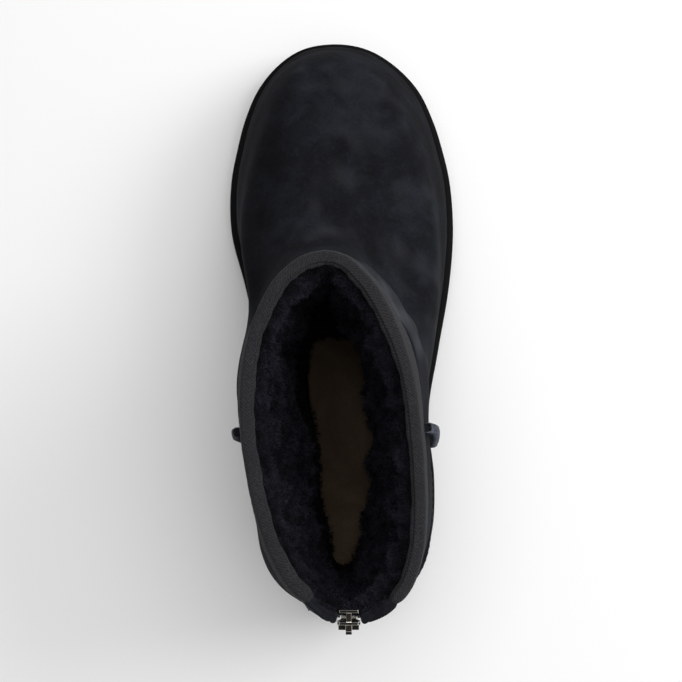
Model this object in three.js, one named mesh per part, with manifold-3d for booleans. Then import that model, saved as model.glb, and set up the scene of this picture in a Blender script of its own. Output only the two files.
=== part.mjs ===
// Low sheepskin boot for the right foot, with a zip up the back.
//
// Millimetres, +Z up, +Y towards the toe, +X towards the outer (little toe) side.
// The working frame has Y = 0 at the back of the heel; at the end the whole group is
// moved so that the origin is the middle of the underside of its box.
//
// The upper is worked out from plan outlines (sole, collar) and from profile sections:
// each section runs from the feather line, where the upper meets the sole, up the wall,
// over the vamp or round the heel, to the collar. The wall is leather and fleece together.

import * as THREE from 'three';
import { mergeVertices } from 'three/addons/utils/BufferGeometryUtils.js';
import Module from 'manifold-3d';

const wasm = await Module();
wasm.setup();

// ---------------------------------------------------------------- driving dimensions
const BOOT_LENGTH = 264.8;         // heel to toe, along the sole
const COLLAR_FRONT_Z = 150;        // top of the shaft over the instep
const COLLAR_BACK_Z = 144;         // top of the shaft at the zip
const GAP = 0.3;                   // between pieces that touch
const FEATHER_INSET = 4.2;         // how far the sole stands out round the upper
const COLLAR_WALL = 2.5;           // suede and shorn fleece under the binding
const BINDING_THICK = 1.2;
const BINDING_DROP = 8;            // how far the binding comes down each side of the edge
const ZIP_X = 1.0;                 // middle of the zip
const ZIP_FOOT_Z = 58;             // where the zip starts, at the top of the heel counter
const ZIP_SLOT_HALF = 6;           // half the gap between the two suede edges
const SLOT_DEPTH = 5.0;            // how deep the opening is, suede and shorn fleece
const ZIP_TAPE_HALF = 13;          // how far each tape reaches under the suede
const ZIP_DEPTH = 1.8;             // tape's middle below the outer face of the suede
const TAPE_THICK = 1.0;
const CHAIN_WIDTH = 5.8;
const CHAIN_THICK = 2.2;
const TOOTH_PITCH = 3.6;
const SLIDER_FOOT_Z = 133.6;
const BINDING_STOP = 15.0;         // the binding ends this far from the zip's middle
const COUNTER_THICK = 1.4;
const FACING = { from: 6.3, to: 14.6, thick: 1.6, foot: 61, head: 143.6 };   // suede strips beside the zip
const SEAM_U = 0.287;              // where the side seams run, as a share of the way round
const SEAM_WIDTH = 3.2;
const SEAM_PROUD = 3.8;
const AROUND = 66;                 // sections round the upper
const INSOLE_THICK = 6.5;

// Sole plan: a row for each station along the foot. Inner side x is negative.
const SOLE_TOE = { y: BOOT_LENGTH, x: -4.6 };
const SOLE_HEEL = { y: 0, x: 3.2 };
const SOLE_PLAN = [
  { y: 262.4, inner: -19.8, outer: 10.2 },
  { y: 255.3, inner: -31.2, outer: 22.8 },
  { y: 243.5, inner: -41.0, outer: 34.4 },
  { y: 229.0, inner: -47.3, outer: 41.6 },
  { y: 214.0, inner: -51.1, outer: 46.3 },
  { y: 199.0, inner: -53.7, outer: 49.5 },
  { y: 176.0, inner: -53.4, outer: 50.9 },
  { y: 149.5, inner: -46.6, outer: 48.7 },
  { y: 120.0, inner: -40.6, outer: 43.5 },
  { y: 90.0, inner: -37.6, outer: 38.7 },
  { y: 60.0, inner: -36.4, outer: 41.2 },
  { y: 38.0, inner: -34.6, outer: 40.2 },
  { y: 20.0, inner: -28.2, outer: 34.8 },
  { y: 6.5, inner: -16.0, outer: 22.6 },
];

// Sole from the side: bottom with heel, arch and toe spring, and top where the upper sits.
const SOLE_SIDE = [
  { y: -6, bottom: 1.2, top: 24.6 },
  { y: 4, bottom: 0.25, top: 24.2 },
  { y: 9, bottom: 0, top: 24.0 },
  { y: 40, bottom: 0, top: 23.0 },
  { y: 74, bottom: 0, top: 21.6 },
  { y: 92, bottom: 1.5, top: 20.9 },
  { y: 112, bottom: 2.0, top: 20.2 },
  { y: 130, bottom: 1.4, top: 19.6 },
  { y: 148, bottom: 0, top: 19.2 },
  { y: 180, bottom: 0, top: 18.8 },
  { y: 206, bottom: 0, top: 18.9 },
  { y: 222, bottom: 0.8, top: 19.3 },
  { y: 238, bottom: 2.3, top: 20.3 },
  { y: 252, bottom: 4.2, top: 21.8 },
  { y: 262, bottom: 6.0, top: 23.2 },
  { y: 272, bottom: 8.2, top: 24.8 },
];

// Collar plan, at the outer edge of the binding.
const COLLAR_FRONT = { y: 147.4, x: -8.0 };
const COLLAR_BACK = { y: 9.6, x: 1.6 };
const COLLAR_PLAN = [
  { y: 145.2, inner: -16.8, outer: 0.4 },
  { y: 137.4, inner: -26.0, outer: 8.4 },
  { y: 127.4, inner: -32.0, outer: 14.6 },
  { y: 113.6, inner: -36.6, outer: 21.2 },
  { y: 98.0, inner: -38.9, outer: 25.5 },
  { y: 80.0, inner: -38.5, outer: 27.8 },
  { y: 62.0, inner: -36.0, outer: 28.9 },
  { y: 46.0, inner: -31.8, outer: 29.1 },
  { y: 34.0, inner: -27.2, outer: 27.5 },
  { y: 24.0, inner: -21.2, outer: 24.0 },
  { y: 16.4, inner: -13.4, outer: 18.0 },
  { y: 12.0, inner: -8.0, outer: 11.0 },
];

// Profile sections, a row for each level from the feather line to the collar.
// inset is mm in from the feather line, share is the share of the way to the collar,
// rise is mm above the sole's top and z a height, out is mm outwards of that path.
const VAMP_PROFILE = [
  { inset: 0, share: 0, rise: 0, out: 0 },
  { inset: 0, share: 0, rise: 9, out: 0.7 },
  { inset: 2.0, share: 0, rise: 19, out: 0.9 },
  { inset: 8.5, share: 0, rise: 29.5, out: 0.9 },
  { inset: 0, share: 0.23, z: 60.5, out: 0.6 },
  { inset: 0, share: 0.50, z: 70.5, out: 0 },
  { inset: 0, share: 0.79, z: 85.5, out: 0.6 },
  { inset: 0, share: 0.955, z: 111, out: 2.6 },
  { inset: 0, share: 1, z: null, out: 0 },
];
const OUTER_PROFILE = [
  { inset: 0, share: 0, rise: 0, out: 0 },
  { inset: 0, share: 0, rise: 9, out: 0.9 },
  { inset: 0, share: 0.02, rise: 20, out: 1.2 },
  { inset: 0, share: 0.05, rise: 30, out: 1.3 },
  { inset: 0, share: 0.12, z: 62, out: 1.3 },
  { inset: 0, share: 0.21, z: 74, out: 1.3 },
  { inset: 0, share: 0.42, z: 92, out: 1.5 },
  { inset: 0, share: 0.74, z: 118, out: 1.8 },
  { inset: 0, share: 1, z: null, out: 0 },
];
const INNER_PROFILE = [
  { inset: 0, share: 0, rise: 0, out: 0 },
  { inset: 0, share: 0, rise: 9, out: 1.0 },
  { inset: 0, share: 0.02, rise: 20, out: 1.4 },
  { inset: 0, share: 0.05, rise: 30, out: 1.6 },
  { inset: 0, share: 0.12, z: 62, out: 1.8 },
  { inset: 0, share: 0.21, z: 74, out: 1.9 },
  { inset: 0, share: 0.42, z: 92, out: 2.0 },
  { inset: 0, share: 0.74, z: 118, out: 1.7 },
  { inset: 0, share: 1, z: null, out: 0 },
];
const HEEL_PROFILE = [
  { inset: 0, share: 0, rise: 0, out: 0 },
  { inset: 0, share: 0, rise: 9, out: 1.0 },
  { inset: 0, share: 0.02, rise: 20, out: 1.2 },
  { inset: 0, share: 0.10, rise: 30, out: 1.3 },
  { inset: 0, share: 0.26, z: 64, out: 1.3 },
  { inset: 0, share: 0.45, z: 79, out: 1.2 },
  { inset: 0, share: 0.67, z: 98, out: 0.9 },
  { inset: 0, share: 0.87, z: 121, out: 0.6 },
  { inset: 0, share: 1, z: null, out: 0 },
];

// Where the shaft swells beyond its binding: at is the share of the way round from the toe.
const SWELLS = [
  { side: 'outer', at: 0.15, width: 0.10, low: -1.5, high: 4.8 },
  { side: 'outer', at: 0.075, width: 0.05, low: -4.2, high: -0.4 },
  { side: 'outer', at: 0.20, width: 0.035, low: 0, high: -1.4 },
  { side: 'outer', at: 0.26, width: 0.04, low: 1.6, high: 0.6 },
  { side: 'outer', at: 0.33, width: 0.08, low: 0.3, high: 0.6 },
  { side: 'inner', at: 0.235, width: 0.055, low: 2.2, high: 3.9 },
  { side: 'inner', at: 0.155, width: 0.035, low: -1.4, high: -2.0 },
  { side: 'inner', at: 0.42, width: 0.05, low: 3.4, high: 4.5 },
];

// Wall of suede and fleece at each level, at the toe, at the sides and at the back.
const WALL = [
  { toe: 12.0, side: 17.0, back: 15.0 },
  { toe: 12.0, side: 16.5, back: 14.5 },
  { toe: 11.5, side: 15.5, back: 13.0 },
  { toe: 11.0, side: 14.0, back: 12.5 },
  { toe: 11.0, side: 13.5, back: 12.0 },
  { toe: 11.0, side: 13.0, back: 11.5 },
  { toe: 11.0, side: 12.5, back: 11.0 },
  { toe: 10.5, side: 11.0, back: 10.0 },
  { toe: 8.0, side: 8.0, back: 8.0 },
];
const LEVELS = WALL.length - 1;

// ---------------------------------------------------------------- small helpers
const lerp = (a, b, t) => a + (b - a) * t;
const clamp = (x, a, b) => Math.max(a, Math.min(b, x));
const smooth = (a, b, x) => { const t = clamp((x - a) / (b - a), 0, 1); return t * t * (3 - 2 * t); };

function tableAt(rows, key, column, x) {
  if (x <= rows[0][key]) return rows[0][column];
  for (let i = 1; i < rows.length; i++) {
    if (x <= rows[i][key]) {
      const t = (x - rows[i - 1][key]) / (rows[i][key] - rows[i - 1][key]);
      return lerp(rows[i - 1][column], rows[i][column], t);
    }
  }
  return rows[rows.length - 1][column];
}

// Catmull-Rom through a list of values, at a level that need not be whole.
function spline(values, level) {
  const n = values.length - 1;
  const i = clamp(Math.floor(level), 0, n - 1), t = level - i;
  const p1 = values[i], p2 = values[i + 1];
  const p0 = i > 0 ? values[i - 1] : 2 * p1 - p2;
  const p3 = i + 2 <= n ? values[i + 2] : 2 * p2 - p1;
  return 0.5 * (2 * p1 + (p2 - p0) * t + (2 * p0 - 5 * p1 + 4 * p2 - p3) * t * t
    + (3 * p1 - p0 - 3 * p2 + p3) * t * t * t);
}

// A plan outline, from its front point down the outer side to the back and up the inner side.
// at(s) gives the point and its outward direction; s is 0 at the front and 0.5 at the back.
function planLoop(front, back, rows, inset) {
  const pts = [new THREE.Vector3(front.x, front.y, 0)];
  rows.forEach((r) => pts.push(new THREE.Vector3(r.outer, r.y, 0)));
  const backIndex = pts.length;
  pts.push(new THREE.Vector3(back.x, back.y, 0));
  [...rows].reverse().forEach((r) => pts.push(new THREE.Vector3(r.inner, r.y, 0)));
  const curve = new THREE.CatmullRomCurve3(pts, true, 'centripetal');
  const fine = 60, total = pts.length * fine, dense = [], length = [0];
  for (let i = 0; i <= total; i++) dense.push(curve.getPoint((i % total) / total));
  for (let i = 1; i <= total; i++) length.push(length[i - 1] + dense[i].distanceTo(dense[i - 1]));
  const atBack = length[backIndex * fine], all = length[total];
  return (share) => {
    const s = ((share % 1) + 1) % 1;
    const want = s <= 0.5 ? (s / 0.5) * atBack : atBack + ((s - 0.5) / 0.5) * (all - atBack);
    let lo = 0, hi = total;
    while (hi - lo > 1) { const m = (lo + hi) >> 1; if (length[m] <= want) lo = m; else hi = m; }
    const t = (want - length[lo]) / (length[hi] - length[lo] || 1);
    const p = dense[lo].clone().lerp(dense[hi], t);
    const a = dense[(lo - 12 + total) % total], b = dense[(hi + 12) % total];
    const d = b.clone().sub(a).normalize();
    const n = new THREE.Vector3(-d.y, d.x, 0);
    return { x: p.x - n.x * inset, y: p.y - n.y * inset, nx: n.x, ny: n.y };
  };
}

const soleTop = (y) => tableAt(SOLE_SIDE, 'y', 'top', y);
const collarZ = (y) => lerp(COLLAR_BACK_Z, COLLAR_FRONT_Z, clamp((y - COLLAR_BACK.y) / (COLLAR_FRONT.y - COLLAR_BACK.y), 0, 1));
const soleLoop = planLoop(SOLE_TOE, SOLE_HEEL, SOLE_PLAN, 0);
const featherLoop = planLoop(SOLE_TOE, SOLE_HEEL, SOLE_PLAN, FEATHER_INSET);
const collarLoop = planLoop(COLLAR_FRONT, COLLAR_BACK, COLLAR_PLAN, BINDING_THICK);

// One section of the upper, u of the way round (0 toe, 0.5 heel; outer side first).
const sectionCache = new Map();
function section(u) {
  const key = Math.round(u * 1e7);
  if (sectionCache.has(key)) return sectionCache.get(key);
  const turn = Math.sin(2 * Math.PI * u);
  const f = featherLoop(u + 0.06 * turn), c = collarLoop(u - 0.05 * turn);
  const D = Math.hypot(c.x - f.x, c.y - f.y), base = soleTop(f.y) + GAP, top = collarZ(c.y);
  const side = u <= 0.5 ? u : 1 - u;
  const wVamp = smooth(18, 60, D) * (1 - smooth(0.28, 0.34, side));
  const wBack = smooth(0.36, 0.49, side);
  const outer = u <= 0.5 ? 1 : 0;
  const dir = { x: (c.x - f.x) / (D || 1), y: (c.y - f.y) / (D || 1) };
  const bend = (dot) => Math.min(0.42 * D, 34) * clamp(dot, 0.1, 1);
  const reachF = bend(-f.nx * dir.x - f.ny * dir.y), reachC = bend(-c.nx * dir.x - c.ny * dir.y) * (u <= 0.5 ? 1 : lerp(1, 0.45, smooth(0, 0.12, 1 - u)));
  const rows = [];
  for (let k = 0; k <= LEVELS; k++) {
    const own = (row) => ({
      t: row.inset / Math.max(D, 1) + row.share,
      z: row.rise !== undefined ? base + row.rise : row.z === null ? top : row.z,
      out: row.out,
    });
    const v = own(VAMP_PROFILE[k]), s = own((outer ? OUTER_PROFILE : INNER_PROFILE)[k]), b = own(HEEL_PROFILE[k]);
    const mix = (q) => lerp(lerp(s[q], b[q], wBack), v[q], wVamp);
    rows.push({ t: mix('t'), z: mix('z'), out: mix('out') });
  }
  // the toe leans in more than the sides of the vamp
  const toe = 1 - smooth(0.05, 0.18, side);
  [0, 0.8, 5.0, 6.5, 3.0].forEach((more, k) => { rows[k].t += (more * toe) / Math.max(D, 1); });
  // the shaft swells over the ankle, most towards the outer front
  for (const w of SWELLS) if ((w.side === 'outer') === Boolean(outer)) {
    const k = Math.exp(-(((side - w.at) / w.width) ** 2)) * smooth(0, 0.06, side);
    rows[6].out += w.low * k;
    rows[7].out += w.high * k;
  }
  const toeWall = 1 - smooth(0.05, 0.2, side), backWall = smooth(0.34, 0.47, side);
  const walls = WALL.map((w) => lerp(lerp(w.side, w.back, backWall), w.toe, toeWall));
  const made = { f, c, D, base, top, rows, reachF, reachC, walls,
    t: rows.map((r) => r.t), z: rows.map((r) => r.z), out: rows.map((r) => r.out) };
  sectionCache.set(key, made);
  return made;
}

// Outer face of the upper, u round and level 0 (feather) to LEVELS (collar).
function facePoint(u, level) {
  const s = section(((u % 1) + 1) % 1);
  const t = spline(s.t, level), z = spline(s.z, level), out = spline(s.out, level);
  const { f, c, reachF, reachC } = s;
  const q = clamp(t, 0, 1), r = 1 - q;
  const x = r * r * r * f.x + 3 * r * r * q * (f.x - f.nx * reachF) + 3 * r * q * q * (c.x + c.nx * reachC) + q * q * q * c.x;
  const y = r * r * r * f.y + 3 * r * r * q * (f.y - f.ny * reachF) + 3 * r * q * q * (c.y + c.ny * reachC) + q * q * q * c.y;
  const nx = lerp(f.nx, c.nx, q), ny = lerp(f.ny, c.ny, q), n = Math.hypot(nx, ny) || 1;
  return new THREE.Vector3(x + (nx / n) * out, y + (ny / n) * out, z);
}

function faceNormal(u, level) {
  const du = 0.004, dl = 0.06;
  const a = facePoint(u + du, level).sub(facePoint(u - du, level));
  const hi = Math.min(level + dl, LEVELS), lo = Math.max(level - dl, 0);
  const b = facePoint(u, hi).sub(facePoint(u, lo));
  const n = a.cross(b).normalize().negate();
  const s = section(((u % 1) + 1) % 1);
  const below = s.top - spline(s.z, level);
  const flat = Math.max(1 - smooth(0, 0.9, level), 1 - smooth(6, 16, below));
  const h = new THREE.Vector3(n.x, n.y, n.z * (1 - flat));
  return h.normalize();
}

// Middle of the upper's back face is used to know which way is out.
const outwardSign = (() => {
  const p = facePoint(0.5, 3), n = faceNormal(0.5, 3);
  return n.y < 0 && p.y < 60 ? 1 : -1;
})();
const normalAt = (u, level) => faceNormal(u, level).multiplyScalar(outwardSign);

const levelAtZ = (u, z) => {
  let lo = 0, hi = LEVELS;
  for (let i = 0; i < 40; i++) { const m = (lo + hi) / 2; if (facePoint(u, m).z < z) lo = m; else hi = m; }
  return (lo + hi) / 2;
};
const offsetPoint = (u, level, o) => facePoint(u, level).addScaledVector(normalAt(u, level), o);

function wallAt(u, level) {
  const s = section(((u % 1) + 1) % 1);
  const below = s.top - spline(s.z, level);
  return lerp(COLLAR_WALL, spline(s.walls, level), smooth(BINDING_DROP + 1, 26, below));
}

// A point on the back of the shaft, dx to the side of the zip at height z, o outwards of the face.
function backPoint(dx, z, o) {
  let lo = 0.38, hi = 0.62;          // u grows from the outer to the inner side
  for (let i = 0; i < 36; i++) {
    const m = (lo + hi) / 2;
    const p = offsetPoint(m, levelAtZ(m, z), o);
    if (p.x > ZIP_X + dx) lo = m; else hi = m;
  }
  const u = (lo + hi) / 2, level = levelAtZ(u, z);
  return { u, level, point: offsetPoint(u, level, o) };
}

// ---------------------------------------------------------------- solids
function signedVolume(pos, index) {
  let v = 0;
  for (let i = 0; i < index.length; i += 3) {
    const [a, b, c] = [index[i], index[i + 1], index[i + 2]].map((k) => [pos[3 * k], pos[3 * k + 1], pos[3 * k + 2]]);
    v += a[0] * (b[1] * c[2] - b[2] * c[1]) - a[1] * (b[0] * c[2] - b[2] * c[0]) + a[2] * (b[0] * c[1] - b[1] * c[0]);
  }
  return v / 6;
}

function geometryOf(pos, index) {
  if (signedVolume(pos, index) < 0) for (let i = 0; i < index.length; i += 3) [index[i + 1], index[i + 2]] = [index[i + 2], index[i + 1]];
  const g = new THREE.BufferGeometry();
  g.setAttribute('position', new THREE.BufferAttribute(new Float32Array(pos), 3));
  g.setIndex(index);
  return g;
}

// A solid between two grids of points of the same size; loop closes it round the first index.
function between(outer, inner, loop) {
  const nu = outer.length, nv = outer[0].length, pos = [], index = [];
  [outer, inner].forEach((grid) => grid.forEach((row) => row.forEach((p) => pos.push(p.x, p.y, p.z))));
  const O = (i, j) => i * nv + j, I = (i, j) => nu * nv + i * nv + j;
  const quad = (a, b, c, d) => index.push(a, b, c, a, c, d);
  for (let i = 0; i < (loop ? nu : nu - 1); i++) {
    const k = (i + 1) % nu;
    for (let j = 0; j < nv - 1; j++) {
      quad(O(i, j), O(k, j), O(k, j + 1), O(i, j + 1));
      quad(I(i, j), I(i, j + 1), I(k, j + 1), I(k, j));
    }
    quad(O(k, 0), O(i, 0), I(i, 0), I(k, 0));
    quad(O(i, nv - 1), O(k, nv - 1), I(k, nv - 1), I(i, nv - 1));
  }
  if (!loop) for (let j = 0; j < nv - 1; j++) {
    quad(O(0, j), O(0, j + 1), I(0, j + 1), I(0, j));
    quad(O(nu - 1, j + 1), O(nu - 1, j), I(nu - 1, j), I(nu - 1, j + 1));
  }
  return geometryOf(pos, index);
}

// A solid swept from a list of sections, each a ring of points, with flat ends.
function swept(rings, cap) {
  const n = rings[0].length, pos = [], index = [];
  rings.forEach((r) => r.forEach((p) => pos.push(p.x, p.y, p.z)));
  for (let i = 0; i < rings.length - 1; i++) for (let j = 0; j < n; j++) {
    const k = (j + 1) % n, a = i * n + j, b = i * n + k, c = (i + 1) * n + k, d = (i + 1) * n + j;
    index.push(a, b, c, a, c, d);
  }
  const last = (rings.length - 1) * n;
  cap.forEach(([a, b, c]) => index.push(c, b, a, last + a, last + b, last + c));
  return geometryOf(pos, index);
}

function solid(geometry) {
  const g = geometry.clone();
  Object.keys(g.attributes).forEach((k) => { if (k !== 'position') g.deleteAttribute(k); });
  const m = mergeVertices(g, 1e-4);
  return new wasm.Manifold(new wasm.Mesh({
    numProp: 3, vertProperties: m.attributes.position.array, triVerts: new Uint32Array(m.index.array),
  }));
}

function geometryFrom(manifold) {
  const m = manifold.getMesh(), n = m.numProp, v = new Float32Array(m.numVert * 3);
  for (let i = 0; i < m.numVert; i++) v.set(m.vertProperties.subarray(i * n, i * n + 3), i * 3);
  const g = new THREE.BufferGeometry();
  g.setAttribute('position', new THREE.BufferAttribute(v, 3));
  g.setIndex(new THREE.BufferAttribute(new Uint32Array(m.triVerts), 1));
  return g;
}

const shapeOf = (pts) => new THREE.Shape(pts.map(([a, b]) => new THREE.Vector2(a, b)));
// A plan outline raised from z0 to z1.
function prismZ(pts, z0, z1) {
  const g = new THREE.ExtrudeGeometry(shapeOf(pts), { depth: z1 - z0, bevelEnabled: false });
  g.translate(0, 0, z0);
  return g;
}
// A side outline in (y, z) drawn out from x0 to x1.
function prismX(pts, x0, x1) {
  const g = new THREE.ExtrudeGeometry(shapeOf(pts), { depth: x1 - x0, bevelEnabled: false });
  g.applyMatrix4(new THREE.Matrix4().set(0, 0, 1, x0, 1, 0, 0, 0, 0, 1, 0, 0, 0, 0, 0, 1));
  return g;
}
// A front outline in (x, z) drawn out from y0 to y1.
function prismY(pts, y0, y1, holes = []) {
  const s = shapeOf(pts);
  holes.forEach((h) => s.holes.push(new THREE.Path(h.map(([a, b]) => new THREE.Vector2(a, b)))));
  const g = new THREE.ExtrudeGeometry(s, { depth: y1 - y0, bevelEnabled: false });
  g.applyMatrix4(new THREE.Matrix4().set(1, 0, 0, 0, 0, 0, -1, y1, 0, 1, 0, 0, 0, 0, 0, 1));
  return g;
}
function boxAt(x0, x1, y0, y1, z0, z1) {
  const g = new THREE.BoxGeometry(x1 - x0, y1 - y0, z1 - z0);
  g.translate((x0 + x1) / 2, (y0 + y1) / 2, (z0 + z1) / 2);
  return g;
}

// ---------------------------------------------------------------- outsole
function loopPoints(loopAt, n, inset) {
  const pts = [];
  for (let i = 0; i < n; i++) { const p = loopAt(i / n); pts.push([p.x - p.nx * inset, p.y - p.ny * inset]); }
  return pts.reverse();
}
// Between two heights measured from the sole's side table.
function slab(low, high) {
  const lo = SOLE_SIDE.map((r) => [r.y, low(r)]), hi = SOLE_SIDE.map((r) => [r.y, high(r)]);
  return prismX([...lo, ...hi.reverse()], -70, 70);
}
const SOLE_POINTS = 60;
const LIP_GROOVE = { top: 5.2, height: 1.6, depth: 1.1 };    // line round the sole's side
const FOOT_EDGE = { height: 3.0, depth: 1.5 };               // the side steps in at the ground
const TREAD = { depth: 2.4, width: 3.2, pitch: 11.0, wave: 2.2, margin: 8.5 };
const TREAD_ROWS = [
  { from: 14, count: 6 },          // heel
  { from: 150, count: 8 },         // forefoot
];
let sole = solid(prismZ(loopPoints(soleLoop, SOLE_POINTS, 0), -5, 40)).intersect(solid(slab((r) => r.bottom, (r) => r.top)));
const around = (depth, low, high) => solid(prismZ(loopPoints(soleLoop, SOLE_POINTS, -6), -5, 40))
  .subtract(solid(prismZ(loopPoints(soleLoop, SOLE_POINTS, depth), -6, 41)))
  .intersect(solid(slab(low, high)));
sole = sole.subtract(around(LIP_GROOVE.depth, (r) => r.top - LIP_GROOVE.top - LIP_GROOVE.height, (r) => r.top - LIP_GROOVE.top));
sole = sole.subtract(around(FOOT_EDGE.depth, (r) => r.bottom - 3, (r) => r.bottom + FOOT_EDGE.height));
const treadField = solid(prismZ(loopPoints(soleLoop, 40, TREAD.margin), -5, 20));
for (const row of TREAD_ROWS) for (let k = 0; k < row.count; k++) {
  const y = row.from + k * TREAD.pitch, steps = 10, a = [], b = [];
  for (let i = 0; i <= steps; i++) {
    const x = lerp(-56, 56, i / steps), w = TREAD.wave * (i % 2 ? 1 : -1);
    a.push([x, y + w - TREAD.width / 2]); b.push([x, y + w + TREAD.width / 2]);
  }
  const cut = solid(prismZ([...a, ...b.reverse()], -5, tableAt(SOLE_SIDE, 'y', 'bottom', y) + TREAD.depth));
  sole = sole.subtract(cut.intersect(treadField));
}

// ---------------------------------------------------------------- upper
// Half levels up to the shaft, then rows that follow the lower edge of the binding.
function faceLevels(u) {
  const edge = levelAtZ(u, section(u).top - BINDING_DROP - 1), levels = [];
  for (let k = 0; k < LEVELS - 1; k++) levels.push(k, ...(k < 2 ? [] : [k + 0.5]));
  levels.push(LEVELS - 1, (LEVELS - 1 + edge) / 2, edge, (edge + LEVELS) / 2, LEVELS);
  return levels;
}
const faceGrid = [], furGrid = [];
for (let i = 0; i < AROUND; i++) {
  const u = i / AROUND, levels = faceLevels(u);
  faceGrid.push(levels.map((l) => facePoint(u, l)));
  furGrid.push(levels.map((l) => offsetPoint(u, l, -wallAt(u, l))));
}
let upper = solid(between(faceGrid, furGrid, true));

// zip opening, with fleece left behind it below the binding, and the pocket behind each
// suede edge where the tape is sewn in
function backStrip(dx0, dx1, z0, z1, o0, o1, across, up) {
  const front = [], rear = [];
  for (let i = 0; i <= across; i++) {
    const dx = lerp(dx0, dx1, i / across), f = [], r = [];
    for (let j = 0; j <= up; j++) {
      const p = backPoint(dx, lerp(z0, z1, j / up), (o0 + o1) / 2);
      f.push(offsetPoint(p.u, p.level, o1));
      r.push(offsetPoint(p.u, p.level, o0));
    }
    front.push(f); rear.push(r);
  }
  return between(front, rear, false);
}
upper = upper.subtract(solid(backStrip(-ZIP_SLOT_HALF, ZIP_SLOT_HALF, ZIP_FOOT_Z, 141, -SLOT_DEPTH, 4, 4, 10)));
upper = upper.subtract(solid(boxAt(ZIP_X - ZIP_SLOT_HALF, ZIP_X + ZIP_SLOT_HALF, -8, 20, 140.5, 170)));
const TAPE_TOP_Z = 143.2;
const pocketHalf = ZIP_TAPE_HALF + GAP;
for (const s of [-1, 1]) {
  const pocket = backStrip(s * (ZIP_SLOT_HALF - 1), s * pocketHalf, ZIP_FOOT_Z, 143.6, -ZIP_DEPTH - TAPE_THICK / 2 - GAP, -ZIP_DEPTH + TAPE_THICK / 2 + GAP, 3, 8);
  upper = upper.subtract(solid(pocket));
}

// ---------------------------------------------------------------- insole
const insoleEdge = [];
for (let i = 0; i < 64; i++) {
  const u = i / 64, p = offsetPoint(u, 0, -wallAt(u, 0) - GAP - 0.2);
  insoleEdge.push([p.x, p.y]);
}
const insole = solid(prismZ(insoleEdge.reverse(), 10, 60)).intersect(solid(slab((r) => r.top + GAP, (r) => r.top + GAP + INSOLE_THICK)));

// ---------------------------------------------------------------- heel counter
const COUNTER_FROM = Math.ceil((SEAM_U + 0.014) * AROUND) / AROUND, COUNTER_LEVELS = 5;
const COUNTER_STEPS = Math.round((1 - 2 * COUNTER_FROM) * AROUND);
const counterTop = (u) => {                    // height of its upper edge
  const s = u <= 0.5 ? u : 1 - u;
  return lerp(31, 60, smooth(COUNTER_FROM - 0.02, 0.47, s));
};
const counterOut = [], counterIn = [];
for (let i = 0; i <= COUNTER_STEPS; i++) {
  const u = lerp(COUNTER_FROM, 1 - COUNTER_FROM, i / COUNTER_STEPS), end = levelAtZ(u, counterTop(u)), a = [], b = [];
  for (let j = 0; j <= COUNTER_LEVELS; j++) {
    const l = lerp(0, end, j / COUNTER_LEVELS);
    a.push(offsetPoint(u, l, GAP + COUNTER_THICK)); b.push(offsetPoint(u, l, GAP));
  }
  counterOut.push(a); counterIn.push(b);
}
const counter = between(counterOut, counterIn, false);

// ---------------------------------------------------------------- raised side seams
function sideSeam(uMid) {
  const steps = 18, rings = [];
  const topLevel = levelAtZ(uMid, section(uMid).top - BINDING_DROP - 0.8);
  for (let j = 0; j <= steps; j++) {
    const l = lerp(0.03, topLevel, j / steps), p = facePoint(uMid, l), n = normalAt(uMid, l);
    const along = facePoint(uMid + 0.003, l).sub(facePoint(uMid - 0.003, l)).normalize();
    const at = (w, o) => p.clone().addScaledVector(along, w * SEAM_WIDTH / 2).addScaledVector(n, GAP + o);
    rings.push([at(-1, 0), at(-1, SEAM_PROUD * 0.72), at(-0.55, SEAM_PROUD), at(0.55, SEAM_PROUD), at(1, SEAM_PROUD * 0.72), at(1, 0)]);
  }
  return swept(rings, [[0, 1, 2], [0, 2, 3], [0, 3, 5], [3, 4, 5]]);
}

// ---------------------------------------------------------------- collar binding
const BINDING_SECTION = [             // o outwards of the suede, h above its top edge
  { o: GAP, h: -BINDING_DROP }, { o: GAP + BINDING_THICK, h: -BINDING_DROP },
  { o: GAP + BINDING_THICK, h: -0.4 }, { o: -0.5, h: GAP + BINDING_THICK },
  { o: -COLLAR_WALL + 0.5, h: GAP + BINDING_THICK }, { o: -COLLAR_WALL - GAP - BINDING_THICK, h: -0.4 },
  { o: -COLLAR_WALL - GAP - BINDING_THICK, h: -BINDING_DROP },
  { o: -COLLAR_WALL - GAP, h: -BINDING_DROP }, { o: -COLLAR_WALL - GAP, h: GAP }, { o: GAP, h: GAP },
];
const bindingCap = THREE.ShapeUtils.triangulateShape(BINDING_SECTION.map((p) => new THREE.Vector2(p.o, p.h)), []);
const bindingEnd = (s) => backPoint(s * BINDING_STOP, COLLAR_BACK_Z - 1, 0).u;
const bindingRings = [];
const uOuterEnd = bindingEnd(1), uInnerEnd = bindingEnd(-1);
const bindingAt = [uInnerEnd - 1];
for (let i = -AROUND; i <= AROUND; i++) {
  const u = i / AROUND;
  if (u > uInnerEnd - 1 + 0.002 && u < uOuterEnd - 0.002) bindingAt.push(u);
}
bindingAt.push(uOuterEnd);
for (const u of bindingAt) {
  const top = section(((u % 1) + 1) % 1).top;
  bindingRings.push(BINDING_SECTION.map(({ o, h }) => {
    const l = h < 0 ? levelAtZ(u, top + h) : LEVELS;
    const p = facePoint(u, l).addScaledVector(normalAt(u, LEVELS), o);
    p.z = top + h;
    return p;
  }));
}
const binding = swept(bindingRings, bindingCap);

// ---------------------------------------------------------------- zip
const tape = (s) => backStrip(s * (CHAIN_WIDTH / 2 + GAP), s * ZIP_TAPE_HALF, ZIP_FOOT_Z + 0.6, TAPE_TOP_Z,
  -ZIP_DEPTH - TAPE_THICK / 2, -ZIP_DEPTH + TAPE_THICK / 2, 4, 10);

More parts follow.
